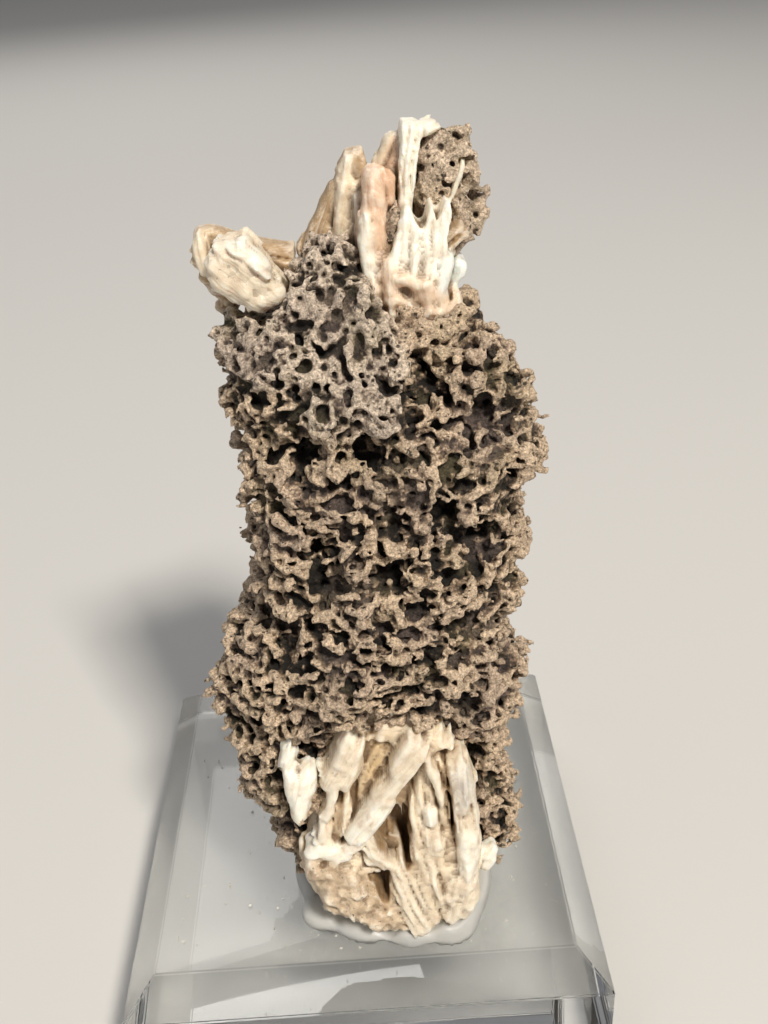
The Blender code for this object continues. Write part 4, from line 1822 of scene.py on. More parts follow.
@dataclass
class UpperFan(Cluster):
    """The upright fan at the top: tan plates behind, white and peach blades before."""

    name: str = "upper_fan"
    node: str = "fan_crystals"
    fillet: float = 0.5
    slabs: tuple[Slab, ...] = (
        Slab(((6, 98), (5.2, 104), (7.5, 111), (11, 114.4), (14, 115.0), (15.4, 112.5), (16, 106), (16, 97),
              (12, 93)),
             1.6, 3.0, Tone.CREAM, 84, leaf=2.7, jump=0.4, edge=1.2, ragged=0.2),
        Slab(((-1.9, 101.2), (-1.9, 102.9), (0.8, 106.7), (2.0, 108.7), (3.5, 110.7), (4.1, 112.4),
              (5.2, 114.1), (6.4, 114.6), (7.3, 114.7), (7.9, 113.6), (8.6, 110.8), (8.6, 97), (1.5, 98)),
             0.6, 3.4, Tone.TAN, 72, leaf=3.3, jump=0.3, rib=0.08, slope=(-0.10, 0.03)),
        Slab(((8.1, 103.4), (8.5, 109.8), (8.7, 112.9), (9.8, 114.8), (10.7, 116.0), (11.5, 116.3),
              (12.1, 116.1), (12.4, 114.8), (12.5, 110.5), (12.2, 103.1)),
             -0.2, 3.4, Tone.CREAM, 76, edge=1.0, ragged=0.12, rib=0.1, rib_width=1.1),
        Slab(((4.4, 110.6), (4.3, 112.3), (5.4, 114.0), (6.3, 114.4), (6.5, 112.8), (6.3, 111.2)),
             -0.3, 2.4, Tone.IVORY, 78, edge=0.9),
        Slab(((4.1, 111.2), (5.7, 111.6), (7.1, 111.3), (7.2, 109.8), (7.2, 104), (7.0, 99), (3.4, 99.5),
              (3.0, 103.2), (3.3, 106.6), (3.7, 109.5)),
             -1.3, 3.2, Tone.CREAM, 80, rib=0.08, rib_width=1.3, slope=(-0.12, 0.0)),
        Slab(((6.0, 109.8), (7.0, 110.2), (7.3, 109.4), (7.2, 104), (7.0, 101), (5.9, 101.5), (6.0, 106.7)),
             -2.5, 3.4, Tone.GREY, 84, edge=0.7, ragged=0.08, rib=0.06),
        Slab(((9.6, 103), (9.8, 111.5), (10.9, 113.9), (11.9, 115.8), (12.7, 116.3), (13.1, 115.0),
              (12.9, 103)),
             -1.6, 3.4, Tone.ORANGE, 80, edge=1.0, ragged=0.12, rib=0.1, rib_width=1.2),
        Slab(((11.4, 106.8), (11.7, 109.4), (11.7, 111.4), (12.1, 114.5), (12.4, 117.0), (12.8, 117.9),
              (13.4, 117.9), (13.9, 117.7), (14.5, 117.8), (15.3, 117.7), (15.5, 117.3), (14.9, 115.6),
              (14.4, 113.1), (13.8, 110.3), (13.5, 108.0), (12.9, 107.2), (12.0, 107.4)),
             -3.7, 5.0, Tone.WHITE, 83, leaf=0.95, jump=0.22, edge=0.6, ragged=0.14, rib=0.12,
             rib_width=0.5),
        Slab(((15.1, 117.4), (16.1, 117.7), (17.2, 117.5), (17.7, 117.0), (16.7, 116.4), (15.5, 116.0)),
             -3.4, 5.4, Tone.IVORY, 20, edge=0.5, ragged=0.16),
        Slab(((19.7, 113.4), (20.0, 113.1), (19.8, 112.2), (19.0, 110.2), (18.2, 108.2), (17.8, 106.7),
              (17.2, 106.4), (17.7, 108.1), (18.6, 110.5), (19.4, 112.4)),
             -3.5, 2.6, Tone.CREAM, 66, edge=0.25, ragged=0.12, rib=0.04),
        Slab(((21.0, 115.2), (22.0, 113.6), (22.6, 112.2), (22.2, 110.2), (21.5, 108.4), (21.0, 108.6),
              (21.6, 110.8), (21.8, 112.4), (21.2, 114.0)),
             -1.8, 3.2, Tone.CREAM, 80, edge=0.4, ragged=0.15, crust=0.12),
        Slab(((7.2, 110.4), (7.4, 112.6), (8.1, 113.3), (8.9, 113.5), (9.8, 113.2), (10.2, 110.2),
              (9.9, 107.4), (9.8, 104.6), (10.3, 102.6), (10.8, 99.2), (11.2, 95), (9.6, 94.0), (8.2, 97.0),
              (7.0, 99.9), (6.1, 102.7), (6.1, 105.3), (6.6, 107.7)),
             -6.0, 5.4, Tone.PEACH, 96, edge=1.3, ragged=0.08, rib=0.09, rib_width=1.5, crust=0.11,
             slope=(-0.08, 0.03)),
        Slab(((7.2, 108.6), (6.2, 105.3), (6.2, 102.7), (7.0, 99.9), (8.4, 97.2), (9.4, 96.4), (9.6, 100),
              (8.4, 103.4), (8.2, 106.6), (8.0, 108.6)),
             -6.7, 2.4, Tone.WHITE, 98, ragged=0.08, rib=0.06, rib_width=1.2),
        Slab(((9.4, 110.6), (9.6, 112.7), (10.6, 112.8), (11.3, 112.1), (11.6, 110.3), (11.2, 108.9),
              (10.2, 108.8)),
             -4.8, 4.4, Tone.ORANGE, 100, rib=0.1, rib_width=0.9),
        Slab(((10.1, 103.1), (10.9, 105.2), (11.6, 107.2), (12.2, 109.0), (12.6, 109.4), (12.9, 108.8),
              (13.5, 107.2), (14.0, 106.5), (14.5, 106.5), (14.8, 107.0), (15.3, 108.6), (15.6, 109.0),
              (15.9, 108.1), (16.1, 107.2), (16.6, 108.0), (17.3, 109.4), (17.7, 109.4), (17.9, 108.2),
              (17.6, 106.3), (17.2, 104.2), (16.8, 102.2), (16.2, 100.5), (12.8, 100.4), (10.4, 100.6)),
             -7.1, 5.0, Tone.WHITE, 84, edge=0.4, ragged=0.05, rib=0.16, rib_width=0.9, slope=(0.0, 0.16)),
        Slab(((16.5, 103.8), (16.9, 105.3), (18.0, 105.6), (19.2, 106.1), (20.0, 105.8), (20.0, 104.8),
              (19.3, 104.3), (18.6, 103.4), (18.3, 102.5), (16.8, 102.5)),
             -5.4, 4.6, Tone.BROWN, 30, leaf=1.1, jump=0.3, edge=0.9, ragged=0.15, crust=0.09),
        Slab(((18.4, 101.3), (18.9, 101.7), (19.7, 101.5), (20.0, 100.6), (19.6, 99.5), (18.8, 98.8),
              (18.3, 97.9), (17.4, 97.1), (16.9, 97.4), (17.7, 98.6), (18.1, 99.9)),
             -4.5, 4.4, Tone.BLUISH, 70, edge=0.9, ragged=0.08, rib=0.06),
        Slab(((8.6, 102.3), (10.0, 103.4), (11.3, 103.0), (12.9, 102.2), (16.1, 101.8), (16.9, 101.0),
              (17.1, 99.2), (18.2, 97.8), (19.6, 96.8), (19.4, 95.2), (16.3, 94.2), (13.6, 94.2),
              (11.2, 94.6), (9.0, 95.6), (7.6, 97.6), (7.6, 99.7), (8.0, 101.4)),
             -8.0, 7.6, Tone.BLUSH, 92, edge=2.6, ragged=0.2, rib=0.06, rib_width=2.0, crust=0.24,
             slope=(0.0, -0.16)),
        Slab(((15.9, 103.1), (16.7, 103.5), (18.0, 103.0), (18.2, 101.8), (17.6, 100.0), (16.9, 98.7),
              (16.2, 97.5), (15.4, 97.4), (15.2, 98.4), (15.7, 100.6)),
             -7.6, 5.0, Tone.BLUISH, 84, ragged=0.06, rib=0.05, crust=0.03, slope=(0.12, 0.0)),
    )


@dataclass
class SideEar(Cluster):
    """The cluster at the upper left: a tan plate with a white slab before it."""

    name: str = "side_ear"
    node: str = "ear_crystals"
    fillet: float = 0.5
    seed: int = 61
    slabs: tuple[Slab, ...] = (
        Slab(((-15.6, 102.4), (-15.2, 104.4), (-14.4, 105.7), (-13.4, 106.1), (-12.1, 105.9),
              (-10.0, 104.7), (-7.7, 104.2), (-4.9, 103.5), (-2.0, 103.2), (-2.0, 97), (-9.1, 96.4),
              (-12.2, 94.6), (-13.7, 98.0), (-15.1, 100.4)),
             0.2, 4.0, Tone.TAN, 168, leaf=2.4, jump=0.5, edge=1.0, ragged=0.28),
        Slab(((-15.7, 103.4), (-15.0, 105.0), (-14.0, 105.9), (-12.9, 105.8), (-12.4, 103.0),
              (-13.0, 100.6), (-14.6, 100.4)),
             -1.2, 3.6, Tone.CREAM, 100, edge=1.4, ragged=0.2),
        Slab(((-12.9, 103.6), (-12.6, 104.7), (-11.4, 105.6), (-10.3, 106.0), (-8.9, 105.7), (-8.3, 106.1),
              (-7.8, 106.1), (-6.8, 104.8), (-5.5, 103.3), (-4.9, 101.8), (-4.3, 101.0), (-3.4, 100.2),
              (-3.0, 98.8), (-5.1, 97.4), (-6.1, 97.1), (-8.3, 97.3), (-8.9, 98.1), (-10.0, 98.5),
              (-11.1, 99.3), (-12.5, 100.2), (-13.0, 101.8)),
             -7.0, 7.4, Tone.IVORY, 142, edge=1.9, ragged=0.14, rib=0.07, rib_width=2.6, crust=0.1,
             fleck=0.45),
        Slab(((-10.4, 105.9), (-8.8, 105.7), (-8.2, 106.2), (-7.7, 106.2), (-6.7, 104.9), (-5.4, 103.4),
              (-4.7, 101.7), (-5.5, 101.1), (-7.0, 102.4), (-8.3, 104.0), (-9.9, 104.9)),
             -7.7, 4.0, Tone.WHITE, 140, edge=1.3, ragged=0.14, rib=0.06, rib_width=1.2, crust=0.08),
    )


@dataclass
class FootFan(Cluster):
    """The radiating crystals at the foot, with open caves between them."""

    name: str = "foot_fan"
    node: str = "foot_crystals"
    step: float = 0.32
    fillet: float = 0.45
    seed: int = 151
    slabs: tuple[Slab, ...] = (
        Slab(((-3.6, 33), (-1.0, 38.6), (6, 40), (12, 37.5), (16.5, 33), (18.2, 22), (18.3, 10),
              (15.6, 3.6), (7.2, 1.6), (-0.6, 4.8), (-6.6, 9.6), (-8.0, 17), (-5.8, 25)),
             -10.6, 12.0, Tone.EARTH, 90, edge=3.0, rib=0.2, rib_width=2.4, crust=0.05),
        Slab(((0.2, 24), (1.0, 30), (3.5, 36.5), (7.6, 36.5), (7.4, 31.5), (4.6, 26.7), (1.3, 21.6),
              (-1.7, 18.6), (-3.6, 18.6), (-2.4, 23.8)),
             -11.8, 3.0, Tone.ROOT, 60, leaf=1.3, jump=0.4, edge=0.7, rib_width=0.8, slope=(0.05, -0.02)),
        Slab(((2.6, 36.9), (4.0, 39.6), (6.0, 40.6), (9.0, 40.9), (13.0, 38.9), (15.4, 35.0), (12.0, 33.6),
              (8.2, 35.0)),
             -12.6, 5.0, Tone.CREAM, 70, edge=2.0, ragged=0.2, rib=0.1, rib_width=1.8, crust=0.2,
             slope=(0.0, 0.25)),
        Slab(((8.3, 25), (8.9, 28.3), (10.0, 31.6), (11.3, 34.2), (13.0, 33.6), (14.5, 30.6), (14.8, 25.6),
              (14.9, 21.5), (15.2, 16.6), (14.6, 8.0), (11.1, 7.0), (7.7, 12.6), (7.4, 20.7)),
             -13.8, 5.0, Tone.CREAM, 97, leaf=1.6, edge=1.0, ragged=0.14, rib=0.1, rib_width=0.8,
             crust=0.11, slope=(0.05, 0.08)),
        Slab(((-8.4, 17.7), (-8.9, 14.6), (-8.0, 11.4), (-5.4, 7.6), (-2.4, 5.0), (1.3, 3.6), (5.8, 1.8),
              (8.7, 2.8), (12.0, 2.9), (15.3, 3.4), (18.2, 7.0), (18.6, 12.2), (17.9, 14.6), (15.7, 19.3),
              (12.2, 20.2), (8.1, 18.8), (6.1, 15.6), (1.6, 16.0), (0.5, 19.5), (-1.8, 18.6), (-4.9, 20.0)),
             -14.0, 8.0, Tone.CREAM, 75, edge=3.2, rib=0.08, rib_width=2.6, crust=0.18, slope=(0.0, -0.03)),
        Slab(((-8.2, 18.9), (-6.1, 20.9), (-3.3, 19.6), (-1.5, 17.2), (-3.3, 14.5), (-6.8, 13.1),
              (-8.6, 15.5)),
             -14.9, 4.0, Tone.STAINED, 120, edge=2.2, ragged=0.15, rib=0.1, rib_width=1.4, crust=0.34,
             fleck=1.0),
        Slab(((-7.1, 14.6), (-4.1, 17.7), (0.2, 16.2), (2.0, 12.6), (5.3, 9.4), (7.3, 3.9), (3.1, 3.7),
              (-2.3, 5.8), (-5.9, 9.2)),
             -15.2, 4.0, Tone.STAINED, 140, leaf=3.2, jump=0.25, edge=2.2, ragged=0.12, rib=0.08,
             rib_width=1.8, crust=0.34, fleck=0.8),
        Slab(((4.7, 15.0), (6.6, 17.6), (7.9, 16.4), (9.1, 14.0), (10.8, 10.4), (12.2, 5.2), (9.6, 3.2),
              (7.5, 2.6), (6.0, 6.7), (4.9, 10.9)),
             -15.2, 4.4, Tone.IVORY, 110, leaf=1.15, jump=0.25, edge=1.3, ragged=0.12, rib=0.12,
             rib_width=0.6, crust=0.08, slope=(0.02, 0.10)),
        Slab(((8.6, 20.6), (10.4, 20.0), (12.0, 15.6), (13.2, 11.0), (12.4, 6.8), (10.8, 10.4), (9.1, 14.0),
              (8.2, 17.4)),
             -15.0, 4.4, Tone.IVORY, 104, leaf=1.5, jump=0.25, edge=1.3, ragged=0.25, rib=0.12,
             rib_width=0.8, crust=0.17, slope=(0.03, 0.08)),
        Slab(((11.7, 10.3), (13.2, 14.4), (16.0, 14.6), (18.2, 12.6), (18.3, 8.6), (16.4, 5.1), (13.3, 3.8),
              (12.0, 5.5)),
             -15.4, 4.6, Tone.IVORY, 80, edge=2.4, ragged=0.12, rib=0.08, rib_width=2.0, crust=0.18),
        Slab(((-3.5, 29.2), (-2.5, 30.6), (-2.1, 29.1), (-3.2, 26.5), (-3.9, 23.9), (-3.9, 21.5),
              (-3.4, 20.1), (-5.0, 20.1), (-5.4, 22.7), (-4.7, 26.0)),
             -14.6, 5.0, Tone.IVORY, 80, edge=0.6, ragged=0.12, rib=0.08, crust=0.12),
        Slab(((-4.8, 30.1), (-4.7, 32.3), (-3.1, 33.4), (-1.7, 37.5), (0.1, 39.4), (1.9, 38.8), (2.6, 36.3),
              (2.2, 33.8), (1.1, 31.2), (-0.3, 29.3), (-1.7, 29.5), (-3.7, 28.8)),
             -14.3, 6.0, Tone.IVORY, 68, edge=2.2, ragged=0.14, rib=0.1, rib_width=1.4, crust=0.13),
        Slab(((-2.6, 26.4), (-2.0, 26.2), (-2.5, 20.6), (-3.5, 20.3), (-3.3, 23.4)),
             -13.0, 3.0, Tone.TAN, 84, edge=0.4),
        Slab(((-1.3, 28.0), (-0.3, 28.6), (-0.2, 25.7), (-1.3, 22.1), (-2.3, 21.0), (-1.8, 24.9)),
             -13.5, 3.4, Tone.CREAM, 78, edge=0.5),
        Slab(((1.0, 21.6), (3.2, 22.4), (4.2, 20.3), (4.8, 17.4), (6.0, 16.5), (5.3, 14.8), (3.4, 15.2),
              (1.0, 17.2)),
             -14.6, 4.0, Tone.IVORY, 130, ragged=0.2, crust=0.17),
        Slab(((17.6, 13.0), (19.2, 13.7), (21.3, 14.3), (21.6, 12.1), (20.9, 10.7), (19.4, 9.3),
              (17.8, 11.0)),
             -10.6, 3.4, Tone.WHITE, 70, crust=0.14),
        Slab(((-7.9, 19.6), (-7.0, 20.6), (-5.9, 21.7), (-4.0, 21.3), (-2.2, 20.2), (0.4, 22.2),
              (0.9, 20.3), (-1.2, 18.0), (-3.2, 17.4), (-5.5, 18.8), (-7.2, 18.8)),
             -15.2, 5.0, Tone.WHITE, 12, edge=1.2, ragged=0.12, rib=0.06, rib_width=1.2, crust=0.1),
        Slab(((6.0, 34.3), (7.0, 36.9), (8.0, 38.2), (8.8, 39.2), (10.6, 38.5), (11.6, 36.8), (11.3, 35.2),
              (9.2, 32.6), (7.6, 31.0), (6.6, 29.0), (6.1, 27.5), (4.0, 27.4), (2.6, 28.4), (3.5, 29.6),
              (5.2, 31.8)),
             -15.5, 5.4, Tone.IVORY, 55, edge=1.8, ragged=0.12, rib=0.1, rib_width=1.4, crust=0.08,
             slope=(0.03, 0.03)),
        Slab(((6.4, 28.2), (4.5, 25.3), (2.7, 22.6), (0.4, 20.7), (-1.6, 21.9), (-0.8, 23.7), (1.5, 26.8),
              (3.2, 29.0), (5.0, 29.6)),
             -15.3, 5.0, Tone.WHITE, 52, leaf=1.8, jump=0.22, ragged=0.14, slope=(0.03, 0.0)),
        Slab(((10.6, 35.8), (11.7, 35.4), (12.8, 32.2), (13.5, 28.3), (13.0, 25.7), (12.0, 29.7),
              (11.0, 32.7)),
             -14.9, 4.0, Tone.CREAM, 104, edge=0.7, ragged=0.08, rib=0.06, crust=0.12),
        Slab(((10.1, 25.7), (11.0, 26.9), (12.2, 25.6), (12.1, 23.0), (10.1, 23.2)),
             -15.0, 2.8, Tone.WHITE, 90),
        Slab(((9.6, 22.0), (11.4, 22.6), (13.4, 20.2), (13.0, 17.4), (10.6, 17.0)),
             -14.8, 2.8, Tone.IVORY, 90, edge=1.4, ragged=0.2, crust=0.19),
        Slab(((14.3, 33.0), (16.4, 33.4), (17.4, 31.5), (18.1, 28.8), (18.3, 26.2), (18.6, 22.1),
              (18.5, 17.3), (18.2, 13.6), (16.7, 11.5), (15.0, 12.6), (14.7, 17.6), (14.7, 22.4),
              (14.5, 27.1), (14.1, 30.4)),
             -14.7, 7.0, Tone.IVORY, 96, leaf=1.5, jump=0.3, edge=1.3, ragged=0.15, rib=0.12, crust=0.11,
             slope=(0.16, 0.03)),
        Slab(((15.0, 21.6), (16.6, 23.4), (18.2, 21.0), (18.4, 16.0), (17.6, 12.2), (15.4, 12.0),
              (14.9, 16.4)),
             -15.3, 3.0, Tone.WHITE, 92, edge=1.8, rib=0.08, rib_width=1.4, crust=0.11, slope=(0.16, 0.0)),
        Slab(((14.9, 32.6), (16.6, 32.8), (17.4, 30.6), (17.8, 27.4), (15.6, 24.2), (15.0, 27.5)),
             -15.0, 2.0, Tone.GREY, 96, leaf=0.9, jump=0.3, edge=0.6, ragged=0.15, slope=(0.16, 0.03)),
        Slab(((13.95, 32.0), (14.35, 31.0), (14.75, 22.0), (14.55, 19.0), (14.2, 24.0), (14.0, 30.0)),
             -18.0, 7.2, Tone.BROWN, 95, edge=0.25, ragged=0.05, hollow=True),
        Slab(((6.6, 25.3), (7.7, 22.8), (8.1, 19.4), (8.3, 15.8), (7.3, 15.2), (6.2, 18.5), (4.4, 18.3),
              (3.2, 20.0), (3.0, 22.2), (4.2, 23.9), (5.4, 25.2)),
             -19.0, 12.0, Tone.BROWN, 100, edge=0.8, ragged=0.25, hollow=True),
        Slab(((1.6, 14.3), (3.9, 15.2), (5.0, 14.4), (4.7, 12.6), (4.9, 10.8), (4.3, 9.2), (3.2, 10.2),
              (2.2, 11.8)),
             -19.0, 9.0, Tone.BROWN, 80, edge=0.8, ragged=0.25, hollow=True),
        Slab(((-0.4, 21.2), (0.6, 21.0), (2.4, 23.6), (1.8, 24.4), (-0.2, 22.8)),
             -13.4, 3.0, Tone.BROWN, 60, edge=0.4, ragged=0.2, hollow=True),
    )


@dataclass
class SmallHeart(Cluster):
    """The small white crystal left of the foot's, with a lesser one above it."""

    name: str = "small_heart"
    node: str = "small_crystal"
    fillet: float = 0.5
    seed: int = 211
    slabs: tuple[Slab, ...] = (
        Slab(((-10.3, 35.7), (-9.4, 37.0), (-8.3, 37.2), (-7.4, 35.5), (-7.8, 32.8), (-9.0, 32.0),
              (-10.3, 33.2)),
             -12.8, 4.0, Tone.WHITE, 70, edge=1.5, ragged=0.22, crust=0.16),
        Slab(((-9.9, 33.0), (-8.4, 33.8), (-7.5, 32.7), (-5.9, 33.6), (-4.9, 31.9), (-5.2, 29.6),
              (-6.3, 27.1), (-6.8, 24.4), (-8.2, 23.4), (-9.3, 24.3), (-9.6, 27.0), (-10.1, 30.1)),
             -13.6, 4.6, Tone.WHITE, 80, edge=1.7, rib=0.06, crust=0.06),
        Slab(((-8.9, 26.4), (-6.9, 26.6), (-6.8, 24.4), (-8.2, 23.4), (-9.3, 24.3)),
             -13.3, 3.6, Tone.ROOT, 80, edge=1.3, crust=0.16, fleck=1.0),
    )


# --- Spongy fillings of the fan


@dataclass
class FanSponge:
    """A spongy filling between the fan's blades, sculpted round its CAD solid."""

    name: str
    node: str
    patch: Slab
    step: float = 0.24
    seed: int = 301
    pit_room: float = 1.7
    pit_radius: Pair = (0.2, 0.62)
    tries: int = 4000
    spare: Pair = (1.2, 0.36)

    def build(self, finish: Finish) -> Piece:
        """Sculpts the filling.

        Args:
            finish: the sponge's material.

        Returns:
            The piece.
        """
        box = box_mm(self.node)
        grid = Grid.around(*box, self.step * coarseness(), 1.6)
        form = solid_distance(self.node, grid, 0.9)
        window = self.patch.window(grid)
        form[window] = melt(form[window], self.patch.distance(grid, window, self.seed + 9), 0.5)
        values = form + 0.42 * swell(grid, (1.7, 1.7, 1.7), self.seed) + 0.1
        self._pit(grid, form, values)
        values -= 0.14 * (0.7 - 2.0 * np.abs(swell(grid, (1.0, 1.0, 1.0), self.seed + 3)))
        values += 0.10 * swell(grid, (0.6, 0.6, 0.6), self.seed + 2)
        values = held_in(np.minimum(values, form + 0.95), grid, box, self.spare)
        values = keep_attached(values, form < 0.7 * form.min(), BARE * grid.step)
        values = settle(values, BARE * grid.step)
        skin = Skin.of(values, grid)
        # shelter and depth carry the sponge finish's painted shade, scaled down here so that the filling is
        # painted less dark.
        marks = {
            "shelter": 0.84 * skin.sample(sheltered(values, grid.step)),
            "depth": 0.5 * skin.sample(form),
            "foam": np.full(len(skin.points), 0.45),
        }
        piece = skin.build(self.name, marks)
        piece.data.materials.append(finish)
        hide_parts(self.node)
        return piece

    def _pit(self, grid: Grid, form: Array, values: Array) -> None:
        """Opens small pits in a field.

        Args:
            grid: the grid.
            form: distances from the filling's plain form.
            values: the field, which is changed.
        """
        rng = np.random.default_rng(self.seed + 1)
        band = np.argwhere(np.abs(form + 0.3) < 0.6 * grid.step)
        rng.shuffle(band)
        kept: list[Array] = []
        for place in np.array(grid.low) + grid.step * band[: self.tries]:
            if kept and ((np.array(kept) - place) ** 2).sum(1).min() < self.pit_room**2:
                continue
            kept.append(place)
            radius = rng.uniform(*self.pit_radius)
            window = grid.window(tuple(place), 1.5 * radius + 0.8)
            dx, dy, dz = grid.offsets(tuple(place), window)
            wide, tall = rng.uniform(0.7, 1.5, 2)
            waver = 0.16 * (np.sin(3.4 * dx + 9.0 * wide) + np.sin(3.8 * dz + 9.0 * tall))
            egg = np.sqrt((dx / wide) ** 2 + (dy / 1.6) ** 2 + (dz / tall) ** 2) - radius + waver
            values[window] = np.maximum(values[window], -egg)


@dataclass
class RightFilling(FanSponge):
    """The large filling between the fan's right blades."""

    name: str = "fan_sponge_right"
    node: str = "fan_sponge"
    patch: Slab = Slab(
        ((13.8, 107.7), (14.0, 111.0), (14.5, 114.2), (15.1, 116.2), (15.8, 116.9), (17.6, 116.8),
         (19.6, 116.6), (20.6, 115.9), (21.9, 114.3), (22.4, 112.4), (22.0, 110.5), (21.2, 108.6),
         (20.4, 106.6), (19.9, 105.0), (18.5, 104.8), (17.2, 107.0), (15.2, 107.0)),
        -2.9, 4.4, edge=1.2, ragged=0.0, rib=0.0,
    )


@dataclass
class FrontFilling(FanSponge):
    """The small filling in the fan's front."""

    name: str = "fan_sponge_front"
    node: str = "fan_sponge_small"
    seed: int = 331
    pit_radius: tuple[float, float] = (0.2, 0.4)
    patch: Slab = Slab(
        ((9.8, 108.3), (10.4, 108.9), (11.7, 109.1), (13.0, 109.0), (13.0, 107.8), (12.4, 106.7),
         (11.8, 104.6), (11.3, 103.3), (10.7, 102.9), (10.1, 103.3), (9.7, 104.7), (9.6, 106.7)),
        -5.4, 3.2, ragged=0.0, rib=0.0,
    )


# --- The wax, the block and the dust


@dataclass
class WaxPad:
    """The pad of wax, pressed up round the specimen's foot and dented by fingers."""

    step: float = 0.5
    spacing: float = 0.8
    flat_under: float = 0.35
    sunk: float = 0.28
    seed: int = 401
    lobes: tuple[tuple[Triple, Triple], ...] = (
        ((0.2, -27.9, 21.2), (4.4, 2.3, 1.9)),
        ((-6.0, -24.4, 21.2), (4.0, 2.9, 1.9)),
    )

    def build(self, finish: Finish) -> Piece:
        """Sculpts the pad.

        Args:
            finish: the wax.

        Returns:
            The piece.
        """
        box = box_mm("wax_pad")
        grid = Grid.around(*box, self.step * coarseness(), 1.0)
        values = solid_distance("wax_pad", grid, self.spacing)
        for centre, radii in self.lobes:
            window = grid.window(centre, max(radii) + 1.0)
            dx, dy, dz = grid.offsets(centre, window)
            egg = np.sqrt((dx / radii[0]) ** 2 + (dy / radii[1]) ** 2 + (dz / radii[2]) ** 2) - 1.0
            values[window] = melt(values[window], egg * min(radii), 1.0)
        values += 0.16 * swell(grid, (3.2, 3.2, 2.4), self.seed)
        values = held_in(values, grid, box)
        values = keep_attached(values, values <= values.min() + 0.2, BARE * grid.step)
        values = settle(values, BARE * grid.step)
        skin = Skin.of(values, grid).relaxed(2)
        floor = box[0][2]
        skin.points[skin.points[:, 2] < floor + self.flat_under, 2] = floor - self.sunk
        piece = skin.build("wax_pad_soft", {})
        piece.data.materials.append(finish)
        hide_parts("wax_pad")
        return piece


@dataclass
class DisplayBlock:
    """The clear block, with its polished edges just broken."""

    edge_m: float = 0.00025

    def build(self, finish: Finish) -> Piece:
        """Copies the CAD block and rounds its edges slightly.

        Args:
            finish: the acrylic.

        Returns:
            The piece.
        """
        solid = bmesh.new()
        solid.from_mesh(bpy.data.objects["display_block"].data)
        bmesh.ops.remove_doubles(solid, verts=solid.verts, dist=1e-6)
        bmesh.ops.dissolve_limit(solid, angle_limit=0.01, verts=solid.verts, edges=solid.edges)
        bmesh.ops.bevel(solid, geom=solid.edges[:], offset=self.edge_m, segments=2, affect="EDGES")
        mesh = bpy.data.meshes.new("clear_block")
        solid.to_mesh(mesh)
        solid.free()
        piece = adopt(bpy.data.objects.new("clear_block", mesh))
        mesh.materials.append(finish)
        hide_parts("display_block")
        return piece


@dataclass
class Dust:
    """Crumbs of the sponge and short fibres, lying on the block's top."""

    crumbs: int = 230
    fibres: int = 16
    crumb_size: Pair = (0.10, 0.30)
    large_share: float = 0.06
    fibre_length: Pair = (1.2, 2.8)
    fibre_radius: float = 0.035
    fibre_steps: int = 9
    half: float = 31.0
    near_share: float = 0.55
    near_at: Pair = (4.0, -20.0)
    near_spread: Pair = (15.0, 9.0)
    seed: int = 501

    def build(self, finish: Finish) -> Piece:
        """Makes all the dust as one mesh.

        Args:
            finish: the dust's material.

        Returns:
            The piece.
        """
        self.rng = np.random.default_rng(self.seed)
        self.top = block_top()
        mesh = bmesh.new()
        for _ in range(self.crumbs):
            self._crumb(mesh)
        for _ in range(self.fibres):
            self._fibre(mesh)
        data = bpy.data.meshes.new("dust_on_block")
        mesh.to_mesh(data)
        mesh.free()
        piece = adopt(bpy.data.objects.new("dust_on_block", data))
        data.materials.append(finish)
        return piece

    def _spot(self) -> Pair:
        """A place on the block's flat top, oftener near the specimen's foot.

        Returns:
            Its x and y.
        """
        while True:
            if self.rng.random() < self.near_share:
                x, y = self.rng.normal(self.near_at, self.near_spread)
            else:
                x, y = self.rng.uniform(-self.half, self.half, 2)
            if abs(x) < self.half and abs(y) < self.half:
                return float(x), float(y)

    def _crumb(self, mesh: bmesh.types.BMesh) -> None:
        """Adds one uneven crumb.

        Args:
            mesh: the mesh to add to.
        """
        x, y = self._spot()
        size = float(self.rng.uniform(*self.crumb_size))
        size *= 2.0 if self.rng.random() < self.large_share else 1.0
        made = bmesh.ops.create_icosphere(mesh, subdivisions=1, radius=size * MM)["verts"]
        squash = self.rng.uniform(0.6, 1.2, 3)
        for vertex in made:
            factor = float(self.rng.uniform(0.7, 1.25))
            vertex.co = Vector(c * s * factor for c, s in zip(vertex.co, squash))
        lowest = min(v.co.z for v in made)
        shift = Vector((x * MM, y * MM, self.top * MM - lowest))
        for vertex in made:
            vertex.co += shift

    def _fibre(self, mesh: bmesh.types.BMesh) -> None:
        """Adds one bent fibre with a three-sided section.

        Args:
            mesh: the mesh to add to.
        """
        x, y = self._spot()
        length = float(self.rng.uniform(*self.fibre_length))
        heading, bend = self.rng.uniform(0, 2 * math.pi), self.rng.uniform(-0.9, 0.9)
        radius, steps = self.fibre_radius, self.fibre_steps
        rings = []
        for i in range(steps):
            angle = heading + bend * i / steps
            side = Vector((-math.sin(angle), math.cos(angle), 0.0))
            centre = Vector((x, y, self.top + radius * 1.2))
            ring = []
            for a in (0.5, 2.6, 4.7):
                spoke = side * radius * math.cos(a) + Vector((0, 0, radius * math.sin(a)))
                ring.append(mesh.verts.new((centre + spoke) * MM))
            rings.append(ring)
            x += math.cos(angle) * length / steps
            y += math.sin(angle) * length / steps
        for lower, upper in zip(rings, rings[1:]):
            for j in range(3):
                k = (j + 1) % 3
                mesh.faces.new((lower[j], lower[k], upper[k], upper[j]))
        mesh.faces.new(rings[0][::-1])
        mesh.faces.new(rings[-1])


# --- The studio


@dataclass(frozen=True)
class Lamp:
    """One square soft light: its name, place and side in metres, power in watts and colour."""

    name: str
    at: Triple
    size: float
    power: float
    colour: Triple


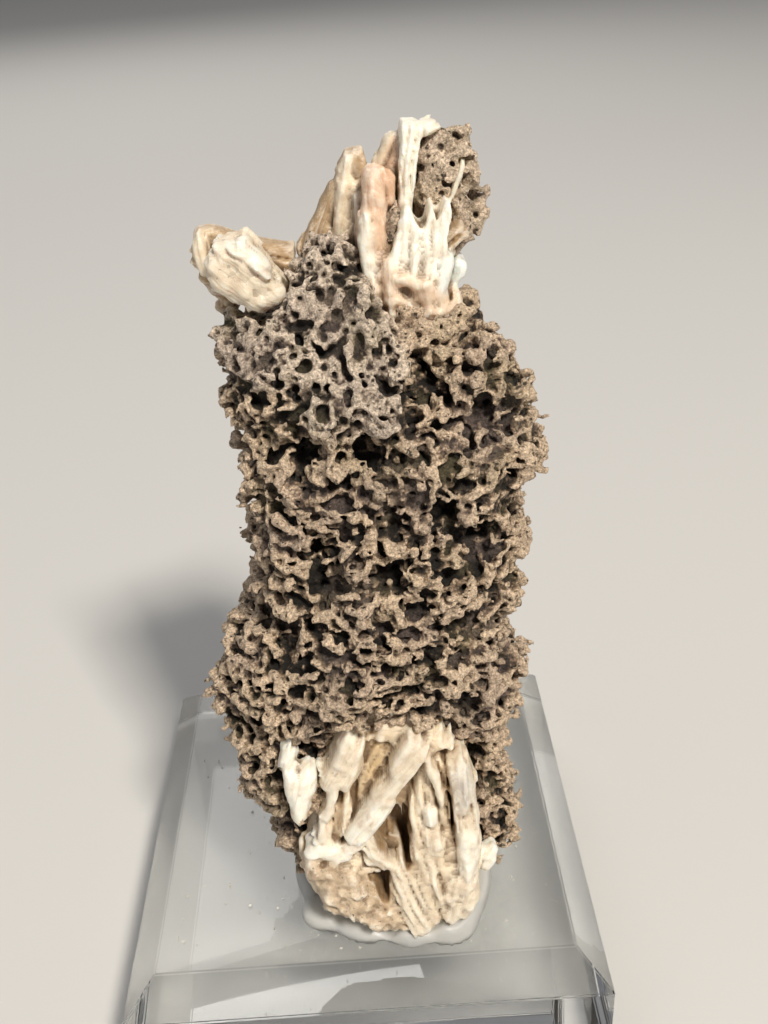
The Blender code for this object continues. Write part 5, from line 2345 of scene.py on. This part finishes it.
@dataclass(frozen=True)
class Studio:
    """A pale floor, soft light and the camera."""

    lamps: tuple[Lamp, ...] = (
        Lamp("key", (0.50, -0.90, 1.30), 0.22, 29.0, (1.0, 0.935, 0.84)),
        Lamp("fill", (-1.2, -0.6, 0.7), 1.2, 2.4, (0.95, 0.97, 1.0)),
        Lamp("rim", (-0.3, 1.1, 0.9), 0.8, 5.0, (1.0, 0.97, 0.93)),
    )
    lit_m: Triple = (0.004, -0.008, 0.075)
    sky: Triple = (0.93, 0.95, 1.0)
    sky_strength: float = 0.19
    floor_tone: Triple = (0.62, 0.61, 0.59)
    floor_half_m: float = 6.0
    floor_low_m: float = -0.0004
    camera_at: Triple = (6.5, -136.9, 143.1)
    right: Triple = (0.9978, -0.0392, -0.0539)
    up: Triple = (0.0664, 0.5127, 0.856)
    focal_px: float = 1047.5
    frame_px: float = 1024.0
    sensor: float = 36.0

    def build(self) -> None:
        """Sets the floor, the world, the lights and the camera."""
        self._floor()
        self._world()
        for lamp in self.lamps:
            self._light(lamp)
        self._camera()
        bpy.context.scene.view_settings.view_transform = "Standard"

    def _floor(self) -> None:
        """The pale floor."""
        mesh = bpy.data.meshes.new("floor")
        half, low = self.floor_half_m, self.floor_low_m
        corners = [(-half, -half, low), (half, -half, low), (half, half, low), (-half, half, low)]
        mesh.from_pydata(corners, [], [(0, 1, 2, 3)])
        floor = bpy.data.objects.new("floor", mesh)
        bpy.context.scene.collection.objects.link(floor)
        n = Nodes("pale_floor")
        n.set(Base_Color=(*self.floor_tone, 1.0), Roughness=0.8)
        mesh.materials.append(n.material)

    def _world(self) -> None:
        """Even light from all round."""
        world = bpy.data.worlds.new("studio")
        bpy.context.scene.world = world
        world.use_nodes = True
        background = world.node_tree.nodes["Background"]
        background.inputs[0].default_value = (*self.sky, 1.0)
        background.inputs[1].default_value = self.sky_strength

    def _light(self, lamp: Lamp) -> None:
        """Sets one light, which faces the specimen.

        Args:
            lamp: the light.
        """
        light = bpy.data.lights.new(lamp.name, "AREA")
        light.size, light.energy, light.color = lamp.size, lamp.power, lamp.colour
        holder = bpy.data.objects.new(lamp.name, light)
        holder.location = lamp.at
        aim = Vector(self.lit_m) - Vector(lamp.at)
        holder.rotation_euler = aim.to_track_quat("-Z", "Y").to_euler()
        bpy.context.scene.collection.objects.link(holder)

    def _camera(self) -> None:
        """The camera, with the view's own place, directions and focal length."""
        data = bpy.data.cameras.new("camera")
        data.sensor_width = self.sensor
        data.lens = self.focal_px / self.frame_px * self.sensor
        data.clip_start, data.clip_end = 0.005, 30.0
        camera = bpy.data.objects.new("camera", data)
        right, up = Vector(self.right).normalized(), Vector(self.up).normalized()
        back = right.cross(up).normalized()
        up = back.cross(right)
        turn = Matrix((right, up, back)).transposed().to_4x4()
        x, y, z = (c * MM for c in self.camera_at)
        camera.matrix_world = Matrix.Translation((x, y, z + block_top() * MM)) @ turn
        bpy.context.scene.collection.objects.link(camera)
        bpy.context.scene.camera = camera


def main() -> None:
    """Builds the specimen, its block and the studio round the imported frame."""
    logging.basicConfig(level=logging.INFO, format="%(name)s %(relativeCreated)d ms: %(message)s")
    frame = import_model()
    log.info("frame: %d nodes", len(frame["nodes"]))
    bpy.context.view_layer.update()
    sponge, crystal = SpongeFinish().make(), CrystalFinish().make()
    SpongeMass().build(sponge)
    for filling in (RightFilling(), FrontFilling()):
        filling.build(sponge)
    for cluster in (UpperFan(), SideEar(), FootFan(), SmallHeart()):
        cluster.build(crystal)
    WaxPad().build(WaxFinish().make())
    DisplayBlock().build(AcrylicFinish().make())
    Dust().build(DustFinish().make())
    Studio().build()


if __name__ == "__main__":
    main()
